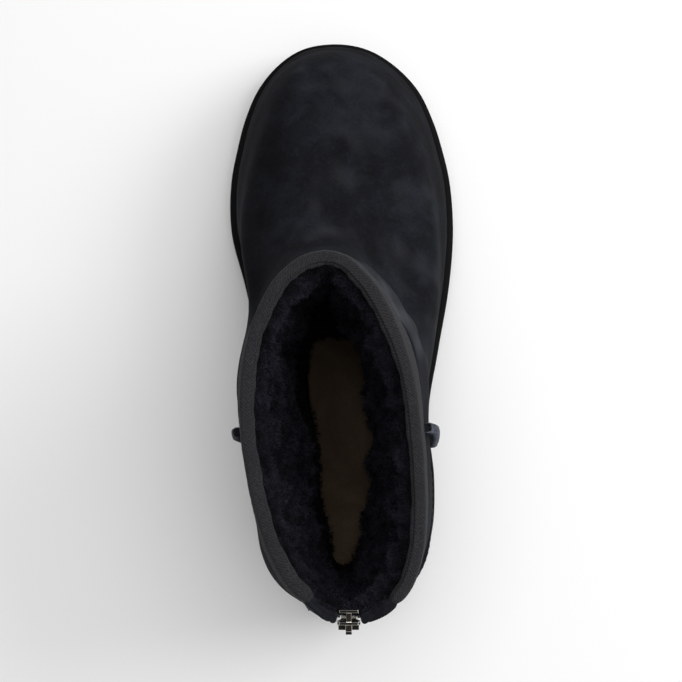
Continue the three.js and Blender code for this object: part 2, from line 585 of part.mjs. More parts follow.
const facing = (s) => backStrip(s * FACING.from, s * FACING.to, FACING.foot, FACING.head, GAP, GAP + FACING.thick, 4, 12);

// The chain's own line up the back: y of its middle at height z.
const chainY = (z) => { const p = backPoint(0, z, 0); return p.point.clone().addScaledVector(normalAt(p.u, p.level), -ZIP_DEPTH).y; };
const CHAIN_FOOT_Z = ZIP_FOOT_Z + 1.2, CHAIN_TOP_Z = SLIDER_FOOT_Z - 0.5;
function chain() {
  const teeth = Math.floor((CHAIN_TOP_Z - CHAIN_FOOT_Z) / TOOTH_PITCH), w = CHAIN_WIDTH / 2, notch = 0.9;
  const left = [], right = [];
  for (let k = 0; k < teeth; k++) {
    const z = CHAIN_FOOT_Z + k * TOOTH_PITCH, h = TOOTH_PITCH / 2;
    right.push([w, z], [w, z + h], [w - notch, z + h], [w - notch, z + TOOTH_PITCH]);
    left.push([-(w - notch), z], [-(w - notch), z + h], [-w, z + h], [-w, z + TOOTH_PITCH]);
  }
  const g = prismY([...right, ...left.reverse()], -CHAIN_THICK / 2, CHAIN_THICK / 2);
  const pos = g.attributes.position;
  for (let i = 0; i < pos.count; i++) { pos.setX(i, pos.getX(i) + ZIP_X); pos.setY(i, pos.getY(i) + chainY(pos.getZ(i))); }
  g.deleteAttribute('normal'); g.deleteAttribute('uv');
  return g;
}

// Slider and pull, in their own frame: x across, -y outwards, z up, from the slider's foot.
const SLIDER = {
  plate: 1.0, between: 3.4, height: 9.8, post: 1.9,
  outline: [[-2.9, 0], [2.9, 0], [3.3, 0.6], [4.2, 6.0], [4.2, 8.6], [3.5, 9.6], [1.4, 9.8], [-1.4, 9.8], [-3.5, 9.6], [-4.2, 8.6], [-4.2, 6.0], [-3.3, 0.6]],
  flange: [[2.5, 0], [2.9, 0], [3.3, 0.6], [4.2, 6.0], [4.2, 8.6], [3.5, 8.6], [3.5, 6.2], [2.6, 0.6]],
  flangeHeight: 0.55, innerFlangeHeight: 0.25,
  postOutline: [[0, 5.0], [0.95, 7.0], [0.95, 9.6], [-0.95, 9.6], [-0.95, 7.0]],
};
const CROWN = { half: 1.2, foot: 1.0, head: 9.0, holeFoot: 2.4, holeHead: 7.6, high: 3.6, hole: 2.5 };
const PIVOT = { z: 3.75, stand: 1.28 };   // pull's bar, above the slider's foot and off its outer plate
const PULL = { half: 3.9, halfEnd: 3.0, bar: 0.8, window: 1.9, windowLong: 6.3, length: 24, thick: 1.5 };
const plateFace = SLIDER.between / 2 + SLIDER.plate;
function slider() {
  const mirror = (pts) => pts.map(([x, z]) => [-x, z]).reverse();
  const half = SLIDER.between / 2;
  let s = solid(prismY(SLIDER.outline, -plateFace, -half)).add(solid(prismY(SLIDER.outline, half, plateFace)));
  s = s.add(solid(prismY(SLIDER.postOutline, -half - 0.3, half + 0.3)));
  for (const f of [SLIDER.flange, mirror(SLIDER.flange)]) {
    s = s.add(solid(prismY(f, -half - 0.3, -half + SLIDER.flangeHeight)));
    s = s.add(solid(prismY(f, half - SLIDER.innerFlangeHeight, half + 0.3)));
  }
  const y0 = -plateFace + 0.3, y1 = -plateFace - CROWN.high;
  const crown = solid(prismX([[y0, CROWN.foot], [y0, CROWN.head], [y1 + 1.2, CROWN.head], [y1, CROWN.head - 1.4], [y1, CROWN.foot + 1.4], [y1 + 1.2, CROWN.foot]], -CROWN.half, CROWN.half));
  const eye = solid(boxAt(-3, 3, -plateFace - CROWN.hole, -plateFace, CROWN.holeFoot, CROWN.holeHead));
  return geometryFrom(s.add(crown.subtract(eye)));
}
function pull() {
  const end = [];
  for (let i = 0; i <= 8; i++) {
    const a = Math.PI * i / 8;
    end.push([-PULL.halfEnd * Math.cos(a), -PULL.length + PULL.halfEnd - PULL.halfEnd * Math.sin(a)]);
  }
  const outline = [[PULL.half, PULL.bar], [-PULL.half, PULL.bar], [-PULL.half, -PULL.windowLong - 1.5], ...end, [PULL.half, -PULL.windowLong - 1.5]];
  const window = [[-PULL.window, -PULL.bar], [PULL.window, -PULL.bar], [PULL.window, -PULL.windowLong], [-PULL.window, -PULL.windowLong]];
  return prismY(outline, -PULL.thick / 2, PULL.thick / 2, [window]);
}

// ---------------------------------------------------------------- the boot
const boot = new THREE.Group();
const SUEDE = { color: 0x232327, roughness: 0.95, metalness: 0 };
const finish = {
  upper: SUEDE, counter: SUEDE, seam: { color: 0x1c1c20, roughness: 0.9, metalness: 0 },
  binding: { color: 0x2f2f31, roughness: 0.85, metalness: 0 },
  sole: { color: 0x101012, roughness: 0.6, metalness: 0 },
  insole: { color: 0x4a382b, roughness: 0.95, metalness: 0 },
  tape: { color: 0x141416, roughness: 0.8, metalness: 0 },
  metal: { color: 0xb9b7b2, roughness: 0.25, metalness: 1 },
};
function place(name, geometry, look, parent = boot) {
  if (!geometry.attributes.normal) geometry.computeVertexNormals();
  const mesh = new THREE.Mesh(geometry, new THREE.MeshStandardMaterial(look));
  mesh.name = name;
  parent.add(mesh);
  return mesh;
}
place('outsole', geometryFrom(sole), finish.sole);
place('upper', geometryFrom(upper), finish.upper);
place('insole', geometryFrom(insole), finish.insole);
place('heel_counter', counter, finish.counter);
place('side_seam_outer', sideSeam(SEAM_U), finish.seam);
place('side_seam_inner', sideSeam(1 - SEAM_U), finish.seam);
place('collar_binding', binding, finish.binding);
place('zip_tape_outer', tape(1), finish.tape);
place('zip_tape_inner', tape(-1), finish.tape);
place('zip_facing_outer', facing(1), finish.seam);
place('zip_facing_inner', facing(-1), finish.seam);
place('zip_teeth', chain(), finish.metal);

const zipHead = new THREE.Group();        // leans with the chain at the top of the zip
const lean = Math.atan2(chainY(SLIDER_FOOT_Z + 8) - chainY(SLIDER_FOOT_Z - 16), 24);
zipHead.position.set(ZIP_X, chainY(SLIDER_FOOT_Z), SLIDER_FOOT_Z);
zipHead.rotation.x = -lean;
boot.add(zipHead);
place('zip_slider', slider(), finish.metal, zipHead);
const pullMesh = place('zip_pull', pull(), finish.metal, zipHead);
pullMesh.position.set(0, -plateFace - PIVOT.stand, PIVOT.z);
pullMesh.rotation.x = lean;               // hangs straight down

boot.updateMatrixWorld(true);
const box = new THREE.Box3().setFromObject(boot);
boot.position.set(-(box.min.x + box.max.x) / 2, -(box.min.y + box.max.y) / 2, -box.min.z);
boot.updateMatrixWorld(true);

export default boot;
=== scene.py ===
import bpy, math
import numpy as np
from mathutils import Vector, Matrix


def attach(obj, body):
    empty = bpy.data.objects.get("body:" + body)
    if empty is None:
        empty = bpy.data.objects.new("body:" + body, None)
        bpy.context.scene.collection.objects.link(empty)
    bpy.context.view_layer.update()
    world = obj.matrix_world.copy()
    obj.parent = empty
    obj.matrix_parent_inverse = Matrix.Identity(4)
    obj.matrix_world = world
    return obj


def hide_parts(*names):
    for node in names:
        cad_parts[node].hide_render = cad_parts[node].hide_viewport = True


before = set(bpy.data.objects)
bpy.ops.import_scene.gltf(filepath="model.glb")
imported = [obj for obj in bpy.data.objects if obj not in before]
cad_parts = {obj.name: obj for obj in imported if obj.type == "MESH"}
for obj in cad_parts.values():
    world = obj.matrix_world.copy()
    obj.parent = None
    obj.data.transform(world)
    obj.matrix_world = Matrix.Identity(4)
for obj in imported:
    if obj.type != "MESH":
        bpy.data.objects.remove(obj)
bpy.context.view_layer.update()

RNG = np.random.default_rng(20461)
MM = 0.001

# ------------------------------------------------------------------ the boot's own shape, in mm
# Working frame: Y = 0 at the back of the sole, X as in the row; SHIFT takes it to the row frame.
GAP = 0.3
FEATHER_INSET = 4.2
COLLAR_WALL = 2.5
BINDING_THICK = 1.2
BINDING_DROP = 8.0
ZIP_X = 1.0
ZIP_FOOT_Z = 58.0
SEAM_U = 0.287
SOLE_TOE, SOLE_HEEL = (-4.6, 264.8), (3.2, 0.0)
SOLE_PLAN = [(262.4, -19.8, 10.2), (255.3, -31.2, 22.8), (243.5, -41.0, 34.4), (229.0, -47.3, 41.6), (214.0, -51.1, 46.3),
             (199.0, -53.7, 49.5), (176.0, -53.4, 50.9), (149.5, -46.6, 48.7), (120.0, -40.6, 43.5), (90.0, -37.6, 38.7),
             (60.0, -36.4, 41.2), (38.0, -34.6, 40.2), (20.0, -28.2, 34.8), (6.5, -16.0, 22.6)]
SOLE_SIDE = np.array([(-6, 1.2, 24.6), (4, 0.25, 24.2), (9, 0, 24.0), (40, 0, 23.0), (74, 0, 21.6), (92, 1.5, 20.9), (112, 2.0, 20.2),
                      (130, 1.4, 19.6), (148, 0, 19.2), (180, 0, 18.8), (206, 0, 18.9), (222, 0.8, 19.3), (238, 2.3, 20.3),
                      (252, 4.2, 21.8), (262, 6.0, 23.2), (272, 8.2, 24.8)])
COLLAR_FRONT, COLLAR_BACK = (-8.0, 147.4), (1.6, 9.6)
COLLAR_PLAN = [(145.2, -16.8, 0.4), (137.4, -26.0, 8.4), (127.4, -32.0, 14.6), (113.6, -36.6, 21.2), (98.0, -38.9, 25.5),
               (80.0, -38.5, 27.8), (62.0, -36.0, 28.9), (46.0, -31.8, 29.1), (34.0, -27.2, 27.5), (24.0, -21.2, 24.0),
               (16.4, -13.4, 18.0), (12.0, -8.0, 11.0)]
TOP, NA = "top", None
#        inset share rise/z  out     (z given as a negative rise)
VAMP = [(0, 0, 0, 0), (0, 0, 9, 0.7), (2.0, 0, 19, 0.9), (8.5, 0, 29.5, 0.9), (0, 0.23, -60.5, 0.6), (0, 0.50, -70.5, 0),
        (0, 0.79, -85.5, 0.6), (0, 0.955, -111, 2.6), (0, 1, TOP, 0)]
OUTER = [(0, 0, 0, 0), (0, 0, 9, 0.9), (0, 0.02, 20, 1.2), (0, 0.05, 30, 1.3), (0, 0.12, -62, 1.3), (0, 0.21, -74, 1.3),
         (0, 0.42, -92, 1.5), (0, 0.74, -118, 1.8), (0, 1, TOP, 0)]
INNER = [(0, 0, 0, 0), (0, 0, 9, 1.0), (0, 0.02, 20, 1.4), (0, 0.05, 30, 1.6), (0, 0.12, -62, 1.8), (0, 0.21, -74, 1.9),
         (0, 0.42, -92, 2.0), (0, 0.74, -118, 1.7), (0, 1, TOP, 0)]
HEEL = [(0, 0, 0, 0), (0, 0, 9, 1.0), (0, 0.02, 20, 1.2), (0, 0.10, 30, 1.3), (0, 0.26, -64, 1.3), (0, 0.45, -79, 1.2),
        (0, 0.67, -98, 0.9), (0, 0.87, -121, 0.6), (0, 1, TOP, 0)]
SWELLS = [(True, 0.15, 0.10, -1.5, 4.8), (True, 0.075, 0.05, -4.2, -0.4), (True, 0.20, 0.035, 0, -1.4), (True, 0.26, 0.04, 1.6, 0.6),
          (True, 0.33, 0.08, 0.3, 0.6), (False, 0.235, 0.055, 2.2, 3.9),
          (False, 0.155, 0.035, -1.4, -2.0), (False, 0.42, 0.05, 3.4, 4.5)]
TOE_LEAN = [0, 0.8, 5.0, 6.5, 3.0, 0, 0, 0, 0]
WALL = np.array([(12, 17, 15), (12, 16.5, 14.5), (11.5, 15.5, 13), (11, 14, 12.5), (11, 13.5, 12), (11, 13, 11.5), (11, 12.5, 11),
                 (10.5, 11, 10), (8, 8, 8)], float)
LEVELS = 8


def smooth(a, b, x):
    t = np.clip((np.asarray(x, float) - a) / (b - a), 0, 1)
    return t * t * (3 - 2 * t)


def lerp(a, b, t):
    return a + (b - a) * t


def sole_top(y):
    return np.interp(y, SOLE_SIDE[:, 0], SOLE_SIDE[:, 2])


def sole_bottom(y):
    return np.interp(y, SOLE_SIDE[:, 0], SOLE_SIDE[:, 1])


class Loop:
    """Closed plan outline: centripetal Catmull-Rom, from the front point down the outer side."""

    def __init__(self, front, back, rows, inset):
        pts = [front] + [(o, y) for y, i, o in rows] + [back] + [(i, y) for y, i, o in reversed(rows)]
        p = np.array(pts, float)
        n, fine = len(p), 60
        back_index = 1 + len(rows)
        k = np.arange(n * fine)
        i, w = k // fine, (k % fine) / fine
        p0, p1, p2, p3 = p[(i - 1) % n], p[i % n], p[(i + 1) % n], p[(i + 2) % n]
        d = lambda a, b: np.sum((a - b) ** 2, 1)[:, None] ** 0.25
        d0, d1, d2 = d(p0, p1), d(p1, p2), d(p2, p3)
        t1 = ((p1 - p0) / d0 - (p2 - p0) / (d0 + d1) + (p2 - p1) / d1) * d1
        t2 = ((p2 - p1) / d1 - (p3 - p1) / (d1 + d2) + (p3 - p2) / d2) * d1
        w = w[:, None]
        q = p1 + t1 * w + (-3 * p1 + 3 * p2 - 2 * t1 - t2) * w**2 + (2 * p1 - 2 * p2 + t1 + t2) * w**3
        self.q = np.vstack([q, q[:1]])
        seg = np.hypot(*np.diff(self.q, axis=0).T)
        self.len = np.concatenate([[0], np.cumsum(seg)])
        self.at_back, self.all = self.len[back_index * fine], self.len[-1]
        tangent = np.roll(q, -12, 0) - np.roll(q, 12, 0)
        tangent /= np.hypot(*tangent.T)[:, None]
        tn = np.stack([-tangent[:, 1], tangent[:, 0]], 1)
        self.n = np.vstack([tn, tn[:1]])
        self.inset = inset

    def __call__(self, s):
        s = np.mod(s, 1.0)
        want = np.where(s <= 0.5, s / 0.5 * self.at_back, self.at_back + (s - 0.5) / 0.5 * (self.all - self.at_back))
        x, y = (np.interp(want, self.len, self.q[:, k]) for k in (0, 1))
        nx, ny = (np.interp(want, self.len, self.n[:, k]) for k in (0, 1))
        h = np.hypot(nx, ny)
        nx, ny = nx / h, ny / h
        return x - nx * self.inset, y - ny * self.inset, nx, ny


SOLE = Loop(SOLE_TOE, SOLE_HEEL, SOLE_PLAN, 0)
FEATHER = Loop(SOLE_TOE, SOLE_HEEL, SOLE_PLAN, FEATHER_INSET)
COLLAR = Loop(COLLAR_FRONT, COLLAR_BACK, COLLAR_PLAN, BINDING_THICK)
SHIFT = np.array([1.607656, -132.4, 0.0])


def sections(u):
    u = np.mod(np.atleast_1d(np.asarray(u, float)), 1.0)
    turn = np.sin(2 * np.pi * u)
    fx, fy, fnx, fny = FEATHER(u + 0.06 * turn)
    cx, cy, cnx, cny = COLLAR(u - 0.05 * turn)
    D = np.hypot(cx - fx, cy - fy)
    base = sole_top(fy) + GAP
    top = lerp(144.0, 150.0, np.clip((cy - COLLAR_BACK[1]) / (COLLAR_FRONT[1] - COLLAR_BACK[1]), 0, 1))
    side = np.where(u <= 0.5, u, 1 - u)
    outer = u <= 0.5
    wv = smooth(18, 60, D) * (1 - smooth(0.28, 0.34, side))
    wb = smooth(0.36, 0.49, side)

    def own(row, q):
        inset, share, z, out = row
        if q == 0:
            return inset / np.maximum(D, 1) + share
        if q == 1:
            return top if z is TOP else (base + z if z >= 0 else np.full_like(base, -z))
        return np.full_like(base, out)

    cols = []
    for q in range(3):
        rows = []
        for k in range(LEVELS + 1):
            v, b = own(VAMP[k], q), own(HEEL[k], q)
            s = np.where(outer, own(OUTER[k], q), own(INNER[k], q))
            rows.append(lerp(lerp(s, b, wb), v, wv))
        cols.append(np.stack(rows, 1))
    t, z, out = cols
    toe = 1 - smooth(0.05, 0.18, side)
    t = t + np.array(TOE_LEAN)[None, :] * toe[:, None] / np.maximum(D, 1)[:, None]
    for is_outer, at, width, low, high in SWELLS:
        k = np.where(outer == is_outer, np.exp(-(((side - at) / width) ** 2)), 0) * smooth(0, 0.06, side)
        out[:, 6] += low * k
        out[:, 7] += high * k
    dx, dy = (cx - fx) / np.maximum(D, 1e-9), (cy - fy) / np.maximum(D, 1e-9)
    bend = lambda dot: np.minimum(0.42 * D, 34) * np.clip(dot, 0.1, 1)
    rf = bend(-fnx * dx - fny * dy)
    rc = bend(-cnx * dx - cny * dy) * np.where(outer, 1, lerp(1, 0.45, smooth(0, 0.12, 1 - u)))
    tw, bw = 1 - smooth(0.05, 0.2, side), smooth(0.34, 0.47, side)
    wall = lerp(lerp(WALL[None, :, 1], WALL[None, :, 2], bw[:, None]), WALL[None, :, 0], tw[:, None])
    return dict(f=(fx, fy, fnx, fny), c=(cx, cy, cnx, cny), top=top, base=base, t=t, z=z, out=out, rf=rf, rc=rc, wall=wall)


def spline(values, level):
    """values (n, LEVELS+1), level (n, m) -> (n, m)"""
    n = LEVELS
    i = np.clip(np.floor(level).astype(int), 0, n - 1)
    t = level - i
    g = lambda j: np.take_along_axis(values, np.clip(j, 0, n), 1)
    p1, p2 = g(i), g(i + 1)
    p0 = np.where(i > 0, g(i - 1), 2 * p1 - p2)
    p3 = np.where(i + 2 <= n, g(i + 2), 2 * p2 - p1)
    return 0.5 * (2 * p1 + (p2 - p0) * t + (2 * p0 - 5 * p1 + 4 * p2 - p3) * t * t + (3 * p1 - p0 - 3 * p2 + p3) * t**3)


def face(u, level):
    """u (n,), level (n, m) -> points (n, m, 3), on the outer face of the upper."""
    s = sections(u)
    t, z, out = spline(s["t"], level), spline(s["z"], level), spline(s["out"], level)
    fx, fy, fnx, fny = (a[:, None] for a in s["f"])
    cx, cy, cnx, cny = (a[:, None] for a in s["c"])
    rf, rc = s["rf"][:, None], s["rc"][:, None]
    q = np.clip(t, 0, 1)
    r = 1 - q
    x = r**3 * fx + 3 * r * r * q * (fx - fnx * rf) + 3 * r * q * q * (cx + cnx * rc) + q**3 * cx
    y = r**3 * fy + 3 * r * r * q * (fy - fny * rf) + 3 * r * q * q * (cy + cny * rc) + q**3 * cy
    nx, ny = lerp(fnx, cnx, q), lerp(fny, cny, q)
    n = np.maximum(np.hypot(nx, ny), 1e-9)
    return np.stack([x + nx / n * out, y + ny / n * out, z], 2)


def unit(v):
    return v / np.maximum(np.linalg.norm(v, axis=-1, keepdims=True), 1e-12)


def normal(u, level):
    du, dl = 0.004, 0.06
    a = face(u + du, level) - face(u - du, level)
    hi, lo = np.minimum(level + dl, LEVELS), np.maximum(level - dl, 0)
    b = face(u, hi) - face(u, lo)
    n = unit(np.cross(a, b))
    s = sections(u)
    below = s["top"][:, None] - spline(s["z"], level)
    flat = np.maximum(1 - smooth(0, 0.9, level), 1 - smooth(6, 16, below))
    n[..., 2] *= 1 - flat
    return unit(n) * NORMAL_SIGN


NORMAL_SIGN = 1.0
_n = normal(np.array([0.5]), np.array([[3.0]]))[0, 0]
NORMAL_SIGN = 1.0 if _n[1] < 0 else -1.0


def level_at_z(u, z):
    """u (n,), z (n, m) -> level (n, m)"""
    lo, hi = np.zeros_like(z), np.full_like(z, LEVELS)
    s = sections(u)
    for _ in range(30):
        m = (lo + hi) / 2
        below = spline(s["z"], m) < z
        lo, hi = np.where(below, m, lo), np.where(below, hi, m)
    return (lo + hi) / 2


def wall_at(u, level):
    s = sections(u)
    below = s["top"][:, None] - spline(s["z"], level)
    return lerp(COLLAR_WALL, spline(s["wall"], level), smooth(BINDING_DROP + 1, 26, below))


def offset(u, level, o):
    return face(u, level) + normal(u, level) * (o[..., None] if isinstance(o, np.ndarray) else o)


def back_at(dx, z, o=0.0):
    """dx, z (k,) arrays -> (u, level) of the points on the shaft's back dx beside the zip at height z."""
    dx, z = np.broadcast_arrays(np.asarray(dx, float), np.asarray(z, float))
    shape = dx.shape
    dx, z = dx.ravel(), z.ravel()
    lo, hi = np.full(dx.shape, 0.38), np.full(dx.shape, 0.62)
    for _ in range(22):
        m = (lo + hi) / 2
        p = offset(m, level_at_z(m, z[:, None]), o)[:, 0]
        right = p[:, 0] > ZIP_X + dx
        lo, hi = np.where(right, m, lo), np.where(right, hi, m)
    u = (lo + hi) / 2
    return u.reshape(shape), level_at_z(u, z[:, None])[:, 0].reshape(shape)


# ------------------------------------------------------------------ smooth noise from sums of sines
class Waves:
    def __init__(self, scale, seed, terms=26):
        r = np.random.default_rng(seed)
        d = unit(r.normal(size=(terms, 3)))
        self.k = d * (2 * np.pi / scale) * r.uniform(0.55, 1.6, (terms, 1))
        self.p = r.uniform(0, 2 * np.pi, terms)
        self.a = math.sqrt(2.0 / terms)

    def __call__(self, pts):
        out = np.zeros(pts.shape[:-1])
        for k, p in zip(self.k, self.p):
            out += np.sin(pts @ k + p)
        return out * self.a


# ------------------------------------------------------------------ mesh helpers
def make_mesh(name, verts, faces, material=None, body="boot", smooth_shade=True, tone=None, uv=None, row_frame=False):
    """verts in working mm; faces a list of integer arrays, each (m, corners)."""
    v = np.asarray(verts, float).reshape(-1, 3)
    v = (v if row_frame else v + SHIFT) * MM
    faces = faces if isinstance(faces, list) else [faces]
    faces = [np.asarray(f, np.int64) for f in faces if len(f)]
    me = bpy.data.meshes.new(name)
    me.vertices.add(len(v))
    me.vertices.foreach_set("co", v.astype(np.float32).ravel())
    loops = np.concatenate([f.ravel() for f in faces])
    totals = np.concatenate([np.full(len(f), f.shape[1]) for f in faces])
    starts = np.concatenate([[0], np.cumsum(totals)[:-1]])
    me.loops.add(len(loops))
    me.loops.foreach_set("vertex_index", loops.astype(np.int32))
    me.polygons.add(len(totals))
    me.polygons.foreach_set("loop_start", starts.astype(np.int32))
    me.polygons.foreach_set("loop_total", totals.astype(np.int32))
    me.polygons.foreach_set("use_smooth", np.full(len(totals), smooth_shade))
    if uv is not None:
        layer = me.uv_layers.new(name="UVMap")
        layer.data.foreach_set("uv", np.asarray(uv, np.float32)[loops].ravel())
    if tone is not None:
        a = me.attributes.new("tone", "FLOAT", "POINT")
        a.data.foreach_set("value", np.asarray(tone, np.float32).ravel())
    me.update(calc_edges=True)
    me.validate()
    if material:
        me.materials.append(material)
    o = bpy.data.objects.new(name, me)
    bpy.context.scene.collection.objects.link(o)
    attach(o, body)
    return o


def grid_faces(nu, nv, loop_u=False, loop_v=False, flip=False, start=0, keep=None):
    iu = np.arange(nu if loop_u else nu - 1)
    iv = np.arange(nv if loop_v else nv - 1)
    a, b = np.meshgrid(iu, iv, indexing="ij")
    a2, b2 = (a + 1) % nu, (b + 1) % nv
    q = np.stack([a * nv + b, a2 * nv + b, a2 * nv + b2, a * nv + b2], -1).reshape(-1, 4)
    if keep is not None:
        q = q[keep.reshape(-1)]
    if flip:
        q = q[:, ::-1]
    return q + start


def tube(path, radius, sides=8, closed=False, cap=True):
    """Round bar along path (n, 3); returns verts, faces list."""
    p = np.asarray(path, float)
    n = len(p)
    t = unit(np.roll(p, -1, 0) - np.roll(p, 1, 0)) if closed else unit(np.gradient(p, axis=0))
    ref = np.array([0.0, 0.0, 1.0]) if abs(t[0, 2]) < 0.9 else np.array([0.0, 1.0, 0.0])
    a = unit(np.cross(t, ref))
    b = np.cross(t, a)
    r = np.broadcast_to(np.asarray(radius, float), (n,))[:, None, None]
    ang = np.linspace(0, 2 * np.pi, sides, endpoint=False)
    ring = p[:, None] + r * (np.cos(ang)[None, :, None] * a[:, None] + np.sin(ang)[None, :, None] * b[:, None])
    f = [grid_faces(n, sides, closed, True)]
    v = ring.reshape(-1, 3)
    if cap and not closed:
        v = np.vstack([v, p[:1], p[-1:]])
        j = np.arange(sides)
        k = (j + 1) % sides
        f.append(np.stack([j, k, np.full(sides, n * sides)], 1))
        e = (n - 1) * sides
        f.append(np.stack([e + k, e + j, np.full(sides, n * sides + 1)], 1))
    return v, f


class Batch:
    """Collects small meshes into one object."""

    def __init__(self):
        self.v, self.f, self.tone, self.n = [], {}, [], 0

    def add(self, v, faces, tone=0.5):
        v = np.asarray(v, float).reshape(-1, 3)
        self.v.append(v)
        self.tone.append(np.full(len(v), tone) if np.isscalar(tone) else np.asarray(tone))
        for f in faces if isinstance(faces, list) else [faces]:
            self.f.setdefault(f.shape[1], []).append(f + self.n)
        self.n += len(v)

    def build(self, name, material, body="boot", **kw):
        return make_mesh(name, np.vstack(self.v), [np.vstack(f) for f in self.f.values()], material, body,
                         tone=np.concatenate(self.tone), **kw)


def capsule(a, b, r, bow=None, sides=6, steps=5):
    """A stitch: a short rounded bar from a to b, bowed outwards."""
    t = np.linspace(0, 1, steps)
    p = a + (b - a) * t[:, None]
    if bow is not None:
        p = p + np.asarray(bow) * np.sin(np.pi * t)[:, None]
    radius = r * np.sqrt(np.clip(1 - (2 * t - 1) ** 4, 0.12, 1))
    return tube(p, radius, sides)


# ------------------------------------------------------------------ materials
def new_material(name):
    m = bpy.data.materials.new(name)
    m.use_nodes = True
    nt = m.node_tree
    bsdf = next(n for n in nt.nodes if n.type == "BSDF_PRINCIPLED")
    return m, nt, bsdf


class N:
    """Short way to add and link shader nodes."""

    def __init__(self, nt):
        self.nt = nt

    def add(self, kind, inputs=None, **props):
        n = self.nt.nodes.new(kind)
        for k, v in props.items():
            setattr(n, k, v)
        for k, v in (inputs or {}).items():
            self.set(n, k, v)
        return n

    def set(self, n, k, v):
        s = n.inputs[k]
        if isinstance(v, bpy.types.NodeSocket):
            self.nt.links.new(v, s)
        else:
            s.default_value = v

    def noise(self, coord, scale, detail=3, rough=0.55, dist=0.0, out="Fac"):
        n = self.add("ShaderNodeTexNoise", {"Vector": coord, "Scale": scale, "Detail": detail, "Roughness": rough, "Distortion": dist})
        return n.outputs[out]

    def ramp(self, fac, stops):
        n = self.add("ShaderNodeValToRGB", {"Fac": fac})
        e = n.color_ramp.elements
        while len(e) < len(stops):
            e.new(0.5)
        for el, (pos, col) in zip(e, stops):
            el.position = pos
            el.color = (*col, 1) if len(col) == 3 else col
        return n.outputs["Color"]

    def mix(self, fac, a, b, mode="MIX"):
        n = self.add("ShaderNodeMix", data_type="RGBA", blend_type=mode)
        for i, v in ((0, fac), (6, a), (7, b)):
            if isinstance(v, bpy.types.NodeSocket):
                self.nt.links.new(v, n.inputs[i])
            else:
                n.inputs[i].default_value = v if i == 0 else (*v, 1)
        return n.outputs[2]

    def math(self, op, a, b=0.0, c=None):
        n = self.add("ShaderNodeMath", operation=op)
        for i, v in enumerate((a, b) if c is None else (a, b, c)):
            if isinstance(v, bpy.types.NodeSocket):
                self.nt.links.new(v, n.inputs[i])
            else:
                n.inputs[i].default_value = v
        return n.outputs[0]

    def range(self, v, a, b, c, d):
        n = self.add("ShaderNodeMapRange", {"Value": v, "From Min": a, "From Max": b, "To Min": c, "To Max": d})
        return n.outputs[0]

    def bump(self, height, distance, strength=1.0, normal=None):
        n = self.add("ShaderNodeBump", {"Height": height, "Distance": distance, "Strength": strength})
        if normal is not None:
            self.set(n, "Normal", normal)
        return n.outputs[0]


def object_coord(x):
    return x.add("ShaderNodeTexCoord").outputs["Object"]


def srgb(*c):
    return tuple((v / 255 / 12.92) if v / 255 <= 0.04045 else ((v / 255 + 0.055) / 1.055) ** 2.4 for v in c)


def suede_material(name, dark, mid, light, blue=1.0, bump=0.00010):
    m, nt, b = new_material(name)
    x = N(nt)
    co = object_coord(x)
    big = x.noise(co, 26, 3, 0.5, 0.3)           # clouds 40 mm across
    nap_and_painted_light = x.noise(co, 95, 4, 0.62, 0.6)          # brushed patches
    grain = x.noise(co, 1900, 3, 0.7)            # fibres of the nap
    fleck = x.noise(co, 620, 2, 0.6)
    f = x.math("ADD", x.math("MULTIPLY", big, 0.62), x.math("MULTIPLY", nap_and_painted_light, 0.38))
    col = x.ramp(f, [(0.34, dark), (0.50, mid), (0.66, light)])
    col = x.mix(x.range(grain, 0.3, 0.7, 0.0, 0.55), col, tuple(c * 0.62 for c in dark), "MIX")
    col = x.mix(x.range(fleck, 0.56, 0.80, 0.0, 0.22), col, tuple(c * 1.4 for c in light))
    col = x.mix(x.range(fleck, 0.44, 0.24, 0.0, 0.34), col, tuple(c * 0.5 for c in dark))
    brushing_and_painted_light = x.add("ShaderNodeAttribute", attribute_name="tone").outputs["Fac"]     # painted light and shade: painted highlight where the upper's tone is above 0, painted shade where it is below 0, plus a little random tone
    # mix towards a pale grey: painted highlight
    col = x.mix(x.range(brushing_and_painted_light, 0.0, 1.0, 0.0, 0.9), col, srgb(76, 77, 83))
    # mix towards near black: painted shade
    col = x.mix(x.range(brushing_and_painted_light, 0.0, -1.0, 0.0, 0.9), col, tuple(c * 0.25 for c in dark))
    x.set(b, "Base Color", col)
    b.inputs["Roughness"].default_value = 0.94
    b.inputs["Specular IOR Level"].default_value = 0.04
    b.inputs["Sheen Weight"].default_value = 0.02
    b.inputs["Sheen Roughness"].default_value = 0.42
    b.inputs["Sheen Tint"].default_value = (0.62, 0.68, 0.80, 1)
    h = x.math("ADD", x.math("MULTIPLY", grain, 0.6), x.math("MULTIPLY", fleck, 0.7))
    n1 = x.bump(h, bump)
    n2 = x.bump(nap_and_painted_light, 0.0006, 0.6, n1)
    x.set(b, "Normal", n2)
    return m


def fleece_material(name, dark, light, sheen=0.05):
    m, nt, b = new_material(name)
    x = N(nt)
    co = object_coord(x)
    tone = x.add("ShaderNodeAttribute", attribute_name="tone").outputs["Fac"]
    patch = x.noise(co, 70, 3, 0.6)
    f = x.math("ADD", x.math("MULTIPLY", tone, 0.65), x.math("MULTIPLY", patch, 0.5))
    col = x.ramp(f, [(0.30, dark), (0.85, light)])
    x.set(b, "Base Color", col)
    b.inputs["Roughness"].default_value = 0.8
    b.inputs["Specular IOR Level"].default_value = 0.08
    b.inputs["Sheen Weight"].default_value = sheen
    b.inputs["Sheen Roughness"].default_value = 0.45
    b.inputs["Sheen Tint"].default_value = (0.62, 0.64, 0.82, 1)
    x.set(b, "Normal", x.bump(x.noise(co, 900, 3, 0.7), 0.0004))
    return m


